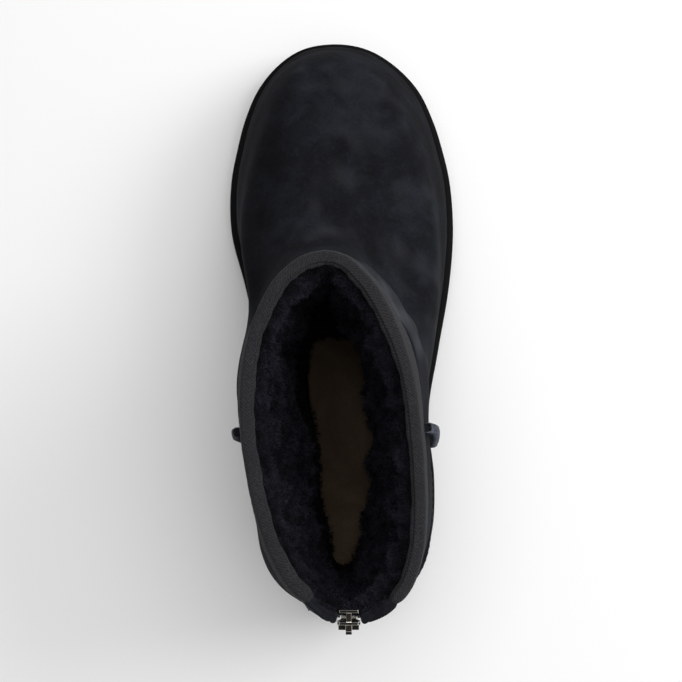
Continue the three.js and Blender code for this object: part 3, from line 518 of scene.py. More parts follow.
SUEDE = suede_material("suede", srgb(17, 17, 19), srgb(26, 27, 31), srgb(38, 41, 48))
SUEDE_TRIM = suede_material("suede_trim", srgb(22, 22, 25), srgb(30, 31, 35), srgb(38, 40, 46))
FLEECE = fleece_material("fleece", srgb(4, 4, 5), srgb(44, 43, 53))
FLEECE_BASE = fleece_material("fleece_skin", srgb(2, 2, 3), srgb(20, 20, 26), 0.02)


def binding_material():
    m, nt, b = new_material("binding_knit")
    x = N(nt)
    co = object_coord(x)
    uv = x.add("ShaderNodeTexCoord").outputs["UV"]
    # fine twill: ribs at 45 degrees across the tape, 0.8 mm apart, broken along their length
    w1 = x.add("ShaderNodeTexWave", {"Vector": uv, "Scale": 0.85, "Distortion": 1.6, "Detail": 2, "Detail Scale": 2.0},
               wave_type="BANDS", bands_direction="DIAGONAL", wave_profile="SIN").outputs["Fac"]
    w2 = x.add("ShaderNodeTexWave", {"Vector": uv, "Scale": 1.6, "Distortion": 0.5, "Detail": 1, "Detail Scale": 1.0},
               wave_type="BANDS", bands_direction="X", wave_profile="SIN").outputs["Fac"]
    fuzz = x.noise(co, 1500, 3, 0.7)
    cloud = x.noise(co, 60, 3, 0.5)
    weave = x.math("ADD", x.math("MULTIPLY", w1, 0.6), x.math("MULTIPLY", w2, 0.4))
    speck = x.noise(co, 1500, 2, 0.7)
    col = x.ramp(weave, [(0.15, srgb(32, 32, 34)), (0.75, srgb(50, 50, 53))])
    col = x.mix(x.range(fuzz, 0.35, 0.7, 0.0, 0.5), col, srgb(38, 38, 41))
    col = x.mix(x.range(speck, 0.50, 0.68, 0.0, 0.6), col, srgb(60, 60, 64))
    col = x.mix(x.range(speck, 0.50, 0.34, 0.0, 0.5), col, srgb(26, 26, 28))
    col = x.mix(x.range(cloud, 0.35, 0.7, 0.0, 0.28), col, srgb(32, 32, 34))
    x.set(b, "Base Color", col)
    b.inputs["Roughness"].default_value = 0.9
    b.inputs["Specular IOR Level"].default_value = 0.06
    b.inputs["Sheen Weight"].default_value = 0.04
    b.inputs["Sheen Roughness"].default_value = 0.5
    n = x.bump(weave, 0.00018)
    x.set(b, "Normal", x.bump(fuzz, 0.00012, 1.0, n))
    return m


def rubber_material():
    m, nt, b = new_material("sole_rubber")
    x = N(nt)
    co = object_coord(x)
    fine = x.noise(co, 1400, 3, 0.6)
    scuff = x.noise(co, 55, 4, 0.6, 0.4)
    col = x.ramp(scuff, [(0.35, srgb(9, 9, 10)), (0.7, srgb(15, 15, 17))])
    x.set(b, "Base Color", col)
    x.set(b, "Roughness", x.range(scuff, 0.3, 0.75, 0.62, 0.82))
    b.inputs["Specular IOR Level"].default_value = 0.08
    x.set(b, "Normal", x.bump(fine, 0.00010, 0.8))
    return m


def insole_material():
    m, nt, b = new_material("insole_leather")
    x = N(nt)
    co = object_coord(x)
    cloud = x.noise(co, 30, 4, 0.6, 0.5)
    grain = x.noise(co, 900, 4, 0.65)
    pores = x.add("ShaderNodeTexVoronoi", {"Vector": co, "Scale": 700.0}).outputs["Distance"]
    col = x.ramp(cloud, [(0.32, srgb(52, 42, 33)), (0.52, srgb(64, 53, 42)), (0.70, srgb(76, 64, 52))])
    col = x.mix(x.range(grain, 0.35, 0.7, 0.0, 0.4), col, srgb(46, 37, 29))
    x.set(b, "Base Color", col)
    b.inputs["Roughness"].default_value = 0.88
    b.inputs["Specular IOR Level"].default_value = 0.1
    b.inputs["Sheen Weight"].default_value = 0.02
    h = x.math("ADD", x.math("MULTIPLY", grain, 0.6), x.math("MULTIPLY", pores, 0.5))
    x.set(b, "Normal", x.bump(h, 0.00012))
    return m


def metal_material(name, dark, light, rough):
    m, nt, b = new_material(name)
    x = N(nt)
    co = object_coord(x)
    wear = x.noise(co, 420, 4, 0.6)
    brushing_and_painted_light = x.noise(co, 2600, 2, 0.5)
    x.set(b, "Base Color", x.ramp(wear, [(0.3, dark), (0.6, light)]))
    b.inputs["Metallic"].default_value = 1.0
    x.set(b, "Roughness", x.range(wear, 0.3, 0.7, rough, rough + 0.18))
    x.set(b, "Normal", x.bump(brushing_and_painted_light, 0.00002, 0.5))
    return m


def tape_material():
    m, nt, b = new_material("zip_tape")
    x = N(nt)
    co = object_coord(x)
    weave = x.add("ShaderNodeTexWave", {"Vector": co, "Scale": 420.0, "Distortion": 0.2}, wave_type="BANDS", bands_direction="Z").outputs["Fac"]
    side = x.add("ShaderNodeTexWave", {"Vector": co, "Scale": 520.0, "Distortion": 0.2}, wave_type="BANDS", bands_direction="X").outputs["Fac"]
    h = x.math("ADD", x.math("MULTIPLY", weave, 0.5), x.math("MULTIPLY", side, 0.5))
    x.set(b, "Base Color", x.ramp(h, [(0.2, srgb(8, 8, 9)), (0.8, srgb(20, 20, 22))]))
    b.inputs["Roughness"].default_value = 0.85
    x.set(b, "Normal", x.bump(h, 0.0001))
    return m


def thread_material(name, low, high):
    m, nt, b = new_material(name)
    x = N(nt)
    co = object_coord(x)
    twist = x.noise(co, 1800, 2, 0.5)
    x.set(b, "Base Color", x.ramp(twist, [(0.3, low), (0.7, high)]))
    b.inputs["Roughness"].default_value = 0.7
    b.inputs["Specular IOR Level"].default_value = 0.35
    x.set(b, "Normal", x.bump(twist, 0.00005))
    return m


BINDING, RUBBER, INSOLE, TAPE = binding_material(), rubber_material(), insole_material(), tape_material()
THREAD, THREAD_PALE = thread_material("thread", srgb(34, 35, 40), srgb(58, 61, 70)), thread_material("thread_pale", srgb(58, 60, 68), srgb(98, 101, 114))
METAL = metal_material("zip_metal", srgb(84, 81, 76), srgb(128, 125, 118), 0.22)
# a near-black copy of the zip metal as painted shade, and a near-white copy for the bevels as painted highlight
METAL_PAINTED_SHADE = metal_material("zip_metal_painted_shade", srgb(12, 11, 10), srgb(34, 31, 28), 0.30)
METAL_PAINTED_HIGHLIGHT = metal_material("zip_metal_painted_highlight", srgb(208, 206, 200), srgb(240, 238, 232), 0.16)


# ------------------------------------------------------------------ suede upper
def seg_dist(p, a, b):
    """Distance of points p (..., 2) from the segment a-b, and how far along."""
    a, b = np.asarray(a, float), np.asarray(b, float)
    d = b - a
    t = np.clip(((p - a) @ d) / (d @ d), 0, 1)
    return np.linalg.norm(p - a - t[..., None] * d, axis=-1), t


# Soft creases, each a line in (u x 480, z) in mm, with its width and depth: minus sinks, plus swells.
CREASES = [
    ((0.215, 84), (0.262, 70), 7.0, -0.5), ((0.785, 84), (0.738, 70), 7.0, -0.5),
    ((0.335, 92), (0.420, 84), 7.0, -0.6), ((0.665, 94), (0.585, 86), 7.0, -0.6), ((0.340, 116), (0.400, 110), 7.0, 0.4),
    ((0.655, 118), (0.600, 110), 7.0, 0.4),
]
dents = Waves(42, 7)
ripple = Waves(15, 8)


def relief(u, p):
    """How far the suede stands off its smooth shape, in mm."""
    uu = np.broadcast_to(np.mod(u, 1.0)[:, None], p.shape[:2])
    z = p[..., 2]
    out = 0.16 * dents(p) + 0.03 * ripple(p)
    for a, b, w, depth in CREASES:
        d, t = seg_dist(np.stack([uu * 480, z], -1), (a[0] * 480, a[1]), (b[0] * 480, b[1]))
        out += depth * np.exp(-((d / w) ** 2)) * (0.2 + 0.8 * np.sin(np.pi * np.clip(t, 0.02, 0.98)))
    # the outer front of the shaft rolls over the instep below the binding
    roll = smooth(0.035, 0.085, uu) * (1 - smooth(0.21, 0.262, uu))
    out += roll * (1.0 * np.exp(-(((z - 121) / 9) ** 2)) - 1.2 * np.exp(-(((z - 97) / 9) ** 2)))
    out -= 2.3 * np.exp(-(((uu - 0.193) / 0.026) ** 2)) * smooth(70, 90, z) * (1 - smooth(116, 130, z))
    return out


def relief_fade(u, level):
    """The relief dies away at the sole, the collar, the side seams and the zip."""
    s = sections(u)
    z = spline(s["z"], level)
    below, above = s["top"][:, None] - z, z - s["base"][:, None]
    uu = np.mod(u, 1.0)[:, None]
    seam = np.minimum(np.abs(uu - SEAM_U), np.abs(uu - (1 - SEAM_U)))
    back = np.abs(uu - 0.5)
    return smooth(7, 18, below) * smooth(2, 14, above) * smooth(0.006, 0.03, seam) * smooth(0.03, 0.09, back)


def suede_point(u, level, o=0.0):
    p, n = face(u, level), normal(u, level)
    uu = np.mod(u, 1.0)[:, None]
    below = sections(u)["top"][:, None] - p[..., 2]
    tuck = 2.0 * np.exp(-(((below - BINDING_DROP - 1.6) / 2.2) ** 2)) * smooth(0.055, 0.10, np.abs(uu - 0.5))
    return p + n * ((relief(u, p) * relief_fade(u, level) - tuck)[..., None] + (o[..., None] if isinstance(o, np.ndarray) else o))


def zip_gap(points, half, foot=ZIP_FOOT_Z):
    return (np.abs(points[..., 0] - ZIP_X) < half) & (points[..., 2] > foot) & (points[..., 1] < 40)


NU, NL = 440, 150
U = np.arange(NU) / NU
L = np.broadcast_to(np.concatenate([np.linspace(0, 7, 108), np.linspace(7, 8, NL - 107)[1:]]), (NU, NL)).copy()
P = suede_point(U, L)


def relax(P, mask, times):
    """Evens out a closed grid where mask is 1, keeping its size."""
    def soften(Q):
        Q = Q.copy()
        for _ in range(times):
            m = (np.roll(Q, 1, 0) + np.roll(Q, -1, 0)) / 2
            n = Q.copy()
            n[:, 1:-1] = (Q[:, 2:] + Q[:, :-2]) / 2
            Q = Q + mask * ((m + n) / 2 - Q) * 0.9
        return Q
    S = soften(P)
    return S + mask * (S - soften(S))


side_u = np.minimum(U, 1 - U)[:, None]
below_top = sections(U)["top"][:, None] - P[..., 2]
vamp_mask = (1 - smooth(0.20, 0.27, side_u)) * smooth(0.8, 2.0, L) * np.where(U[:, None] < 0.5, smooth(62, 80, below_top), smooth(20, 40, below_top))
P = relax(P, vamp_mask[..., None], 160)
mid = (P + np.roll(P, -1, 0))[:, :-1] / 2
mid = (mid + (P + np.roll(P, -1, 0))[:, 1:] / 2) / 2
keep = ~zip_gap(mid, 7.6, 60.5)
z_ = P[..., 2]
u_ = np.broadcast_to(U[:, None], z_.shape)
# tone on the upper, painted light and shade except for a little random tone: a painted highlight along the top of the
# outer shaft's roll over the instep
nap_and_painted_light = 0.62 * smooth(0.02, 0.11, u_) * (1 - smooth(0.13, 0.27, u_)) * smooth(100, 132, z_ + 5 * dents(P)) * (1 - smooth(136, 143, z_)) * (0.85 + 0.25 * ripple(P))
# painted shade on the inner side of the vamp, and painted shade darkening the upper towards the sole
nap_and_painted_light = nap_and_painted_light - 0.42 * smooth(0.72, 0.84, u_) * (1 - smooth(0.90, 0.99, u_)) * (1 - smooth(70, 110, z_)) - 0.34 * (1 - smooth(34, 56, z_))
# painted shade on the outer side of the shaft
nap_and_painted_light = nap_and_painted_light - 0.40 * smooth(0.20, 0.28, u_) * (1 - smooth(0.36, 0.46, u_)) * smooth(60, 95, z_)
# a little random tone
nap_and_painted_light = nap_and_painted_light + 0.035 * dents(P) + 0.05 * ripple(P)
# painted shade in the tuck just under the binding
nap_and_painted_light = nap_and_painted_light - 0.8 * np.exp(-(((below_top - BINDING_DROP - 1.6) / 1.7) ** 2)) * smooth(0.06, 0.10, np.abs(u_ - 0.5))
# painted shade in the groove between the binding and the roll
nap_and_painted_light = nap_and_painted_light - 0.9 * np.exp(-(((below_top - BINDING_DROP - 4.4) / 2.2) ** 2)) * smooth(0.03, 0.08, u_) * (1 - smooth(0.22, 0.28, u_))
upper = make_mesh("upper_suede", P, grid_faces(NU, NL, True, keep=keep), SUEDE, tone=nap_and_painted_light.ravel())
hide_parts("upper")


# ------------------------------------------------------------------ pieces that lie on the upper
def patch(name, u, level, thick, material, lift=0.15, edge=1.1, puff=0.0, slot="suede", relief_on=True):
    """A panel of suede on the upper with rounded edges: u (n,), level (n, m)."""
    n, m = level.shape
    base = suede_point(u, level) if relief_on else face(u, level)
    nor = normal(u, level)
    du = np.linalg.norm(np.diff(base, axis=0), axis=2)
    dv = np.linalg.norm(np.diff(base, axis=1), axis=2)
    su = np.concatenate([np.zeros((1, m)), np.cumsum(du, 0)])
    sv = np.concatenate([np.zeros((n, 1)), np.cumsum(dv, 1)], 1)
    d = np.minimum(np.minimum(su, su[-1:] - su), np.minimum(sv, sv[:, -1:] - sv))
    k = np.clip(d / edge, 0, 1)
    height = lift + thick * np.sqrt(np.clip(1 - (1 - k) ** 2, 0, 1)) + puff * np.exp(-(((d - 3.2) / 1.6) ** 2)) * (d > 0.5)
    stitch = np.exp(-(((d - 2.0) / 0.45) ** 2)) * -0.35
    top = base + nor * (height + stitch)[..., None]
    under = base + nor * (-0.3)
    v = np.vstack([top.reshape(-1, 3), under.reshape(-1, 3)])
    t, b = np.arange(n * m).reshape(n, m), np.arange(n * m).reshape(n, m) + n * m
    rim = np.concatenate([t[:, 0], t[-1, 1:], t[-2::-1, -1], t[0, -2:0:-1]])
    low = rim + n * m
    side = np.stack([rim, np.roll(rim, -1), np.roll(low, -1), low], 1)
    o = make_mesh(name, v, [grid_faces(n, m), grid_faces(n, m, flip=True, start=n * m), side[:, ::-1]], material)
    return o, (base, nor, su, sv, lift + thick)


def edge_rows(n, first, count, total):
    """Sample places that crowd at both ends: total samples from 0 to 1, first mm-share near the ends."""
    e = np.linspace(0, first, count)
    return np.concatenate([e, np.linspace(first, 1 - first, total - 2 * count + 2)[1:-1], 1 - e[::-1]])


def stitch_row(batch, path, nor, length=2.6, gap=0.9, r=0.26, tone=0.5, bow=0.18):
    """Stitches along path (n, 3)."""
    seg = np.linalg.norm(np.diff(path, axis=0), axis=1)
    s = np.concatenate([[0], np.cumsum(seg)])
    count = int(s[-1] / (length + gap))
    for i in range(count):
        a, b = i * (length + gap) + gap / 2, i * (length + gap) + gap / 2 + length
        A, B = (np.array([np.interp(q, s, path[:, k]) for k in range(3)]) for q in (a, b))
        nn = unit(np.array([np.interp((a + b) / 2, s, nor[:, k]) for k in range(3)]))
        v, f = capsule(A, B, r, nn * bow)
        batch.add(v, f, tone + RNG.uniform(-0.2, 0.2))


threads, pale = Batch(), Batch()

# heel counter
CU0 = math.ceil((SEAM_U + 0.014) * 66) / 66
cu = CU0 + (1 - 2 * CU0) * edge_rows(0, 0.012, 7, 220)
counter_side = np.where(cu <= 0.5, cu, 1 - cu)
counter_top = lerp(31, 60, smooth(CU0 - 0.02, 0.47, counter_side)) - 0.4
cl_top = level_at_z(cu, counter_top[:, None])
cv = edge_rows(0, 0.035, 7, 64)
CL = cl_top * cv[None, :]
counter, (cb, cn, csu, csv, ch) = patch("heel_counter_suede", cu, CL, 1.35, SUEDE_TRIM, lift=0.2, puff=0.2)
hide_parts("heel_counter")
for back_off in (2.0, 4.6):
    path, pn = [], []
    for i in range(6, len(cu) - 6):
        j = np.interp(csv[i, -1] - back_off, csv[i], np.arange(CL.shape[1]))
        j0 = int(j)
        w = j - j0
        path.append(cb[i, j0] * (1 - w) + cb[i, min(j0 + 1, CL.shape[1] - 1)] * w + cn[i, j0] * (ch - 0.12))
        pn.append(cn[i, j0])
    stitch_row(threads, np.array(path), np.array(pn))

# zip facings: a strip of suede each side, turned under at the edge beside the zip and folded over the shaft's top
FACING_FROM = 6.1
HEAD_Z, HEAD_IN = 143.4, 3.0
for side, label, FACING_TO in ((1, "outer", 18.6), (-1, "inner", 17.2)):
    dxs = FACING_FROM + (FACING_TO - FACING_FROM) * edge_rows(0, 0.10, 6, 34)
    zs = 61.2 + (HEAD_Z - 61.2) * np.concatenate([edge_rows(0, 0.014, 6, 120)[:-5], [1.0]])
    share, Z = np.meshgrid((dxs - FACING_FROM) / (FACING_TO - FACING_FROM), zs, indexing="ij")
    near = FACING_FROM - 1.5 * smooth(128, 139, Z)
    DX = side * lerp(near, FACING_TO, share)
    bu, bl = back_at(DX, Z)
    n, m = DX.shape
    base = face(bu.ravel(), bl.ravel()[:, None])[:, 0].reshape(n, m, 3)
    nor = normal(bu.ravel(), bl.ravel()[:, None])[:, 0].reshape(n, m, 3)
    d_in, d_out = np.abs(DX) - near, FACING_TO - np.abs(DX)
    d = np.minimum(d_in, Z - 61.2)
    k = np.clip(d / 1.2, 0, 1)
    k_out = np.clip(d_out / 2.6, 0, 1)
    wob = 0.12 * np.sin(Z / 7.3 + side) + 0.08 * np.sin(Z / 3.1) + 0.10 * np.sin(DX / 1.9 + side)
    height = 0.2 + (1.1 * np.sqrt(1 - (1 - k) ** 2) + wob * k) * (k_out * k_out * (3 - 2 * k_out)) - 0.3 * np.exp(-(((d - 2.2) / 0.45) ** 2))
    top = base + nor * height[..., None]
    # the fold over the top: a rounded edge, a flat with a little sag, and a short leg inside
    out_edge, out_nor = base[:, -1], nor[:, -1] * np.array([1, 1, 0])
    out_nor = unit(out_nor)
    ho = height[:, -1]
    rim_wave = 0.35 * np.sin(dxs * 0.9 + side) + 0.2 * np.sin(dxs * 2.3)
    fold = []
    for q in np.linspace(0.12, 1, 7):
        a_ = q * np.pi / 2
        fold.append((ho - 1.2 * (1 - np.cos(a_)), 1.2 * np.sin(a_) + 0 * ho))
    for q in (0.25, 0.5, 0.75, 1.0):
        fold.append((lerp(ho - 1.2, -HEAD_IN + 1.0, q), 1.2 + rim_wave * q * 0.8 - 0.25 * math.sin(q * np.pi)))
    for q in np.linspace(0.2, 1, 5):
        a_ = q * np.pi / 2
        fold.append((-HEAD_IN + 1.0 - 1.0 * np.sin(a_) + 0 * ho, 0.2 + np.cos(a_) + rim_wave * 0.8))
    fold.append((-HEAD_IN + 0 * ho, -2.2 + 0 * ho))
    # the strip's own edge beside the zip narrows the fold
    pinch = np.sqrt(np.clip(1 - (1 - np.clip((dxs - FACING_FROM) / 1.3, 0, 1)) ** 2, 0, 1))
    mid_o = -0.8
    over = np.stack([out_edge + out_nor * (mid_o + (o_ - mid_o) * (0.45 + 0.55 * pinch))[:, None] +
                     np.stack([0 * ho, 0 * ho, h_ * (0.7 + 0.3 * pinch)], 1) for o_, h_ in fold], 1)
    sheet = np.concatenate([top, over], 1)
    under_out = base - nor * (1.25 * smooth(0, 1.2, np.minimum(d, d_out)) + 0.25)[..., None]
    ends = under_out[:, -1:] - np.array([0, 0, 0.6])
    under = np.concatenate([under_out, np.repeat(ends, over.shape[1], 1) * 0.75 + 0.25 * over], 1)
    n, mm_ = sheet.shape[:2]
    v = np.vstack([sheet.reshape(-1, 3), under.reshape(-1, 3)])
    t = np.arange(n * mm_).reshape(n, mm_)
    rim = np.concatenate([t[:, 0], t[-1, 1:], t[-2::-1, -1], t[0, -2:0:-1]])
    low = rim + n * mm_
    flat = np.stack([rim, np.roll(rim, -1), np.roll(low, -1), low], 1)
    f = [grid_faces(n, mm_, flip=side < 0), grid_faces(n, mm_, flip=side > 0, start=n * mm_), flat if side < 0 else flat[:, ::-1]]
    o = make_mesh(f"zip_facing_{label}_suede", v, f, SUEDE_TRIM)
    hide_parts(f"zip_facing_{label}")
    for off in (2.2, 8.4):
        i = int(np.argmin(np.abs(dxs - FACING_FROM - off)))
        stitch_row(pale, top[i, 5:-8] + nor[i, 5:-8] * 0.10, nor[i, 5:-8], length=2.3, gap=0.9, r=0.2)

# raised side seams: two suede edges sewn together, standing out, whipped over with thread
for uu, label in ((SEAM_U, "outer"), (1 - SEAM_U, "inner")):
    top_z = sections(np.array([uu]))["top"][0] - BINDING_DROP - 0.3
    l_top = level_at_z(np.array([uu]), np.array([[top_z]]))[0, 0]
    ls = np.linspace(0.02, l_top, 150)
    u1 = np.full(150, uu)
    p = face(u1, ls[:, None])[:, 0]
    n_ = normal(u1, ls[:, None])[:, 0]
    al = unit(face(u1 + 0.003, ls[:, None])[:, 0] - face(u1 - 0.003, ls[:, None])[:, 0])
    run = np.concatenate([[0], np.cumsum(np.linalg.norm(np.diff(p, axis=0), axis=1))])
    wave = 0.16 * np.sin(run / 2.1) + 0.12 * np.sin(run / 5.3 + 1)
    prof = [(-1.5, -0.3), (-1.55, 1.4), (-1.62, 2.7), (-1.35, 3.55), (-0.85, 3.95), (-0.25, 3.75), (0, 3.15), (0.25, 3.75), (0.85, 3.95),
            (1.35, 3.55), (1.62, 2.7), (1.55, 1.4), (1.5, -0.3)]
    ring = np.stack([p + al * (w + 0.12 * np.sin(run / 3.7))[:, None] + n_ * (o + (wave if o > 2 else 0 * wave))[:, None] for w, o in prof], 1)
    m = len(prof)
    v = ring.reshape(-1, 3)
    cap0, cap1 = p[0] + n_[0] * 1.8, p[-1] + n_[-1] * 1.8 + np.array([0, 0, 0.5])
    v = np.vstack([v, cap0, cap1])
    j = np.arange(m)
    k = (j + 1) % m
    f = [grid_faces(150, m, False, True), np.stack([k, j, np.full(m, 150 * m)], 1), np.stack([149 * m + j, 149 * m + k, np.full(m, 150 * m + 1)], 1)]
    o = make_mesh(f"side_seam_{label}_suede", v, f, SUEDE_TRIM)
    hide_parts(f"side_seam_{label}")
    # thread whipped over the edge
    s = 2.0
    while s < run[-1] - 1.0:
        at = lambda q, a: np.array([np.interp(q, run, a[:, c]) for c in range(3)])
        path = []
        for w, h, ds in ((-1.78, 1.5, 0.0), (-1.80, 2.8, 0.25), (-1.3, 4.0, 0.5), (0, 4.15, 0.8), (1.3, 4.0, 1.1), (1.80, 2.8, 1.35), (1.78, 1.5, 1.6)):
            q = s + ds
            path.append(at(q, p) + at(q, al) * w + at(q, n_) * h)
        v, f = tube(path, 0.24, 5)
        pale.add(v, f, 0.5 + RNG.uniform(-0.2, 0.2))
        s += 3.1

# ------------------------------------------------------------------ collar binding
SECTION = []          # o outwards, h above the suede's edge: a soft folded tape
out_o, in_o, cap_h = GAP + BINDING_THICK, -COLLAR_WALL - GAP - BINDING_THICK, GAP + BINDING_THICK
SECTION += [(GAP - 0.1, -BINDING_DROP + 0.4), (GAP + 0.5, -BINDING_DROP - 0.1), (out_o - 0.2, -BINDING_DROP + 0.2)]
SECTION += [(out_o + b, h) for h, b in ((-7.0, 0.0), (-5.8, -0.08), (-4.6, 0.06), (-3.4, 0.12), (-2.2, 0.12), (-1.2, 0.06))]
for a in np.linspace(0, np.pi / 2, 7)[1:]:
    SECTION.append((out_o - 1.5 + 1.5 * math.cos(a), cap_h - 1.5 + 1.5 * math.sin(a)))
SECTION += [(-1.2, cap_h + 0.08), (-2.2, cap_h + 0.1), (-3.0, cap_h + 0.05)]
for a in np.linspace(np.pi / 2, np.pi, 6):
    SECTION.append((in_o + 1.4 + 1.4 * math.cos(a), cap_h - 1.4 + 1.4 * math.sin(a)))
SECTION += [(in_o, -2.0), (in_o, -4.5), (in_o, -7.0), (in_o + 0.3, -BINDING_DROP), (in_o + 0.9, -BINDING_DROP + 0.3)]
SECTION = np.array(SECTION)
bend_u, _ = back_at(np.array([16.4, -14.4]), np.array([143.0, 143.0]))
u_out, u_in = bend_u
NB = 620
bu = np.linspace(u_in - 1, u_out, NB)
s = sections(bu)
h = SECTION[:, 1]
zz = s["top"][:, None] + np.minimum(h, 0)[None, :]
bl = np.where(h[None, :] < 0, level_at_z(bu, zz), float(LEVELS))
bp = face(bu, bl)
bn = normal(bu, np.full((NB, 1), float(LEVELS)))
end = np.minimum(np.arange(NB), NB - 1 - np.arange(NB)) / 9.0
shrink = np.sqrt(np.clip(1 - (1 - np.clip(end, 0, 1)) ** 2, 0, 1))
centre_o, centre_h = (out_o + in_o) / 2, -3.2
limp = 0.22 * np.sin(bu * 61) + 0.16 * np.sin(bu * 143 + 1.0) + 0.10 * np.sin(bu * 331 + 2.0)
o_ = SECTION[None, :, 0] + np.where(SECTION[None, :, 0] < -3, limp[:, None], 0.25 * limp[:, None])
ends_o = centre_o + (o_ - centre_o) * (0.25 + 0.75 * shrink[:, None])
hh = SECTION[None, :, 1] + 0.18 * np.sin(bu * 97)[:, None] * (SECTION[None, :, 1] > 0)
ends_h = centre_h + (hh - centre_h) * (0.55 + 0.45 * shrink[:, None])
narrow = 0.75 * np.exp(-(((bu - 0.125) / 0.05) ** 2))[:, None] * smooth(0.5, -3.5, -SECTION[None, :, 0] - 3.5)
bp = bp + bn * (ends_o + narrow)[..., None]
bp[..., 2] = s["top"][:, None] + ends_h
arc = np.concatenate([[0], np.cumsum(np.linalg.norm(np.diff(bp[:, 9], axis=0), axis=1))])
across = np.concatenate([[0], np.cumsum(np.linalg.norm(np.diff(SECTION, axis=0), axis=1))])
uv = np.stack(np.broadcast_arrays(arc[:, None] * 0.55, across[None, :] * 0.55), -1).reshape(-1, 2)
nbs = len(SECTION)
v = bp.reshape(-1, 3)
c0, c1 = bp[0].mean(0), bp[-1].mean(0)
v = np.vstack([v, c0, c1])
uv = np.vstack([uv, [[0, 0], [0, 0]]])
j = np.arange(nbs)
k = (j + 1) % nbs
f = [grid_faces(NB, nbs, False, True, flip=True), np.stack([j, k, np.full(nbs, NB * nbs)], 1), np.stack([(NB - 1) * nbs + k, (NB - 1) * nbs + j, np.full(nbs, NB * nbs + 1)], 1)]
binding = make_mesh("collar_binding_knit", v, f, BINDING, uv=uv)
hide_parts("collar_binding")
i_st = 4
stitch_row(threads, bp[8:-8, i_st] + bn[8:-8, 0] * 0.02, np.repeat(bn[8:-8], 1, 0)[:, 0], length=2.3, gap=1.1, r=0.14, bow=0.05)

thread_piece = threads.build("stitches", THREAD)
pale_piece = pale.build("stitches_pale", THREAD_PALE)

# ------------------------------------------------------------------ sole
NS = 460
ss = np.arange(NS) / NS
sx, sy, snx, sny = SOLE(ss)
# from the top inner edge, over the lip, down the side with its groove, to the tread's edge: inset, height
# (height is a share of the wall above the groove from the top, mm below the top or mm above the bottom)
SIDEWALL = [("t", 13, -0.5), ("t", 5.2, -0.25), ("t", 4.0, 0.0), ("t", 2.2, 0.05), ("t", 1.0, -0.1), ("t", 0.35, -0.5), ("t", 0.05, -1.1), ("t", 0, -2.0),
            ("t", 0.0, -3.4), ("t", 0.1, -4.4), ("t", 0.35, -4.95), ("t", 0.9, -5.25), ("t", 1.1, -5.6), ("t", 1.1, -6.3), ("t", 0.85, -6.65),
            ("t", 0.3, -6.95), ("t", 0.05, -7.5), ("t", 0, -8.6), ("b", 0, 8.5), ("b", 0.05, 6.4), ("b", 0.1, 4.6), ("b", 0.25, 3.7), ("b", 0.7, 3.2),
            ("b", 1.35, 3.0), ("b", 1.5, 2.6), ("b", 1.55, 1.6), ("b", 1.75, 0.8), ("b", 2.3, 0.2), ("b", 3.2, 0.0), ("b", 5.5, 0.0)]
rows = []
wob = 0.12 * np.sin(ss * 2 * np.pi * 9) + 0.08 * np.sin(ss * 2 * np.pi * 23)
for ref, inset, hgt in SIDEWALL:
    x_, y_ = sx - snx * inset, sy - sny * inset
    yy = y_
    z_ = (sole_top(yy) if ref == "t" else sole_bottom(yy)) + hgt
    if ref == "t" and hgt > -5:
        z_ = z_ + 0.4 * wob * (inset < 5)
    rows.append(np.stack([x_, y_, z_], 1))
wall = np.stack(rows, 1)
# tread field: from the last row in to the middle line, with wavy cross grooves
spine_y = np.clip(sy, 34, 236)
spine_x = np.interp(spine_y, *zip(*sorted((y, (i + o) / 2) for y, i, o in SOLE_PLAN)))
NR = 56
inner = wall[:, -1, :2]
r = np.linspace(0, 1, NR)[None, :]
TX = inner[:, :1] * (1 - r) + spine_x[:, None] * r
TY = inner[:, 1:] * (1 - r) + spine_y[:, None] * r


def groove(x, y):
    edge = np.zeros_like(x)
    tri = lambda q: 2 * np.abs(2 * (q - np.floor(q + 0.5))) - 1
    for first, count in ((14, 6), (150, 8)):
        k_ = np.clip(np.round((y - first) / 11.0), 0, count - 1)
        centre = first + k_ * 11.0 + 2.2 * tri(x / 22.4 + 0.25)
        edge = np.maximum(edge, smooth(2.0, 1.2, np.abs(y - centre)))
    return edge


def smooth_down(a, b, x):
    return 1 - smooth(a, b, x)


def groove_mask(x, y, margin):
    tri = lambda q: 2 * np.abs(2 * (q - np.floor(q + 0.5))) - 1
    g = np.zeros_like(x)
    for first, count in ((14, 6), (150, 8)):
        k_ = np.clip(np.round((y - first) / 11.0), 0, count - 1)
        centre = first + k_ * 11.0 + 2.2 * tri(x / 22.4 + 0.25)
        g = np.maximum(g, smooth_down(1.2, 1.9, np.abs(y - centre)))
    return g * margin


reach = np.hypot(TX - inner[:, :1], TY - inner[:, 1:])
margin = smooth(2.6, 3.6, reach)
depth = 2.4 * groove_mask(TX, TY, margin)
arch = smooth(78, 90, TY) * (1 - smooth(134, 146, TY))
fine_tread = 0.35 * (0.5 + 0.5 * np.sin(TX * 1.9) * np.sin(TY * 1.9)) * (1 - arch) * margin
TZ = sole_bottom(TY) + depth + fine_tread * (depth < 0.2)
TZ = np.where(arch > 0.02, np.maximum(TZ, sole_bottom(TY) + 0.5 * arch * margin * (np.abs(np.mod(TY, 6.0) - 3.0) < 1.0)), TZ)
tread = np.stack([TX, TY, TZ], 2)
body = np.concatenate([wall, tread[:, 1:]], 1)
ncol = body.shape[1]
outsole = make_mesh("outsole_rubber", body, grid_faces(NS, ncol, True), RUBBER)
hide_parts("outsole")

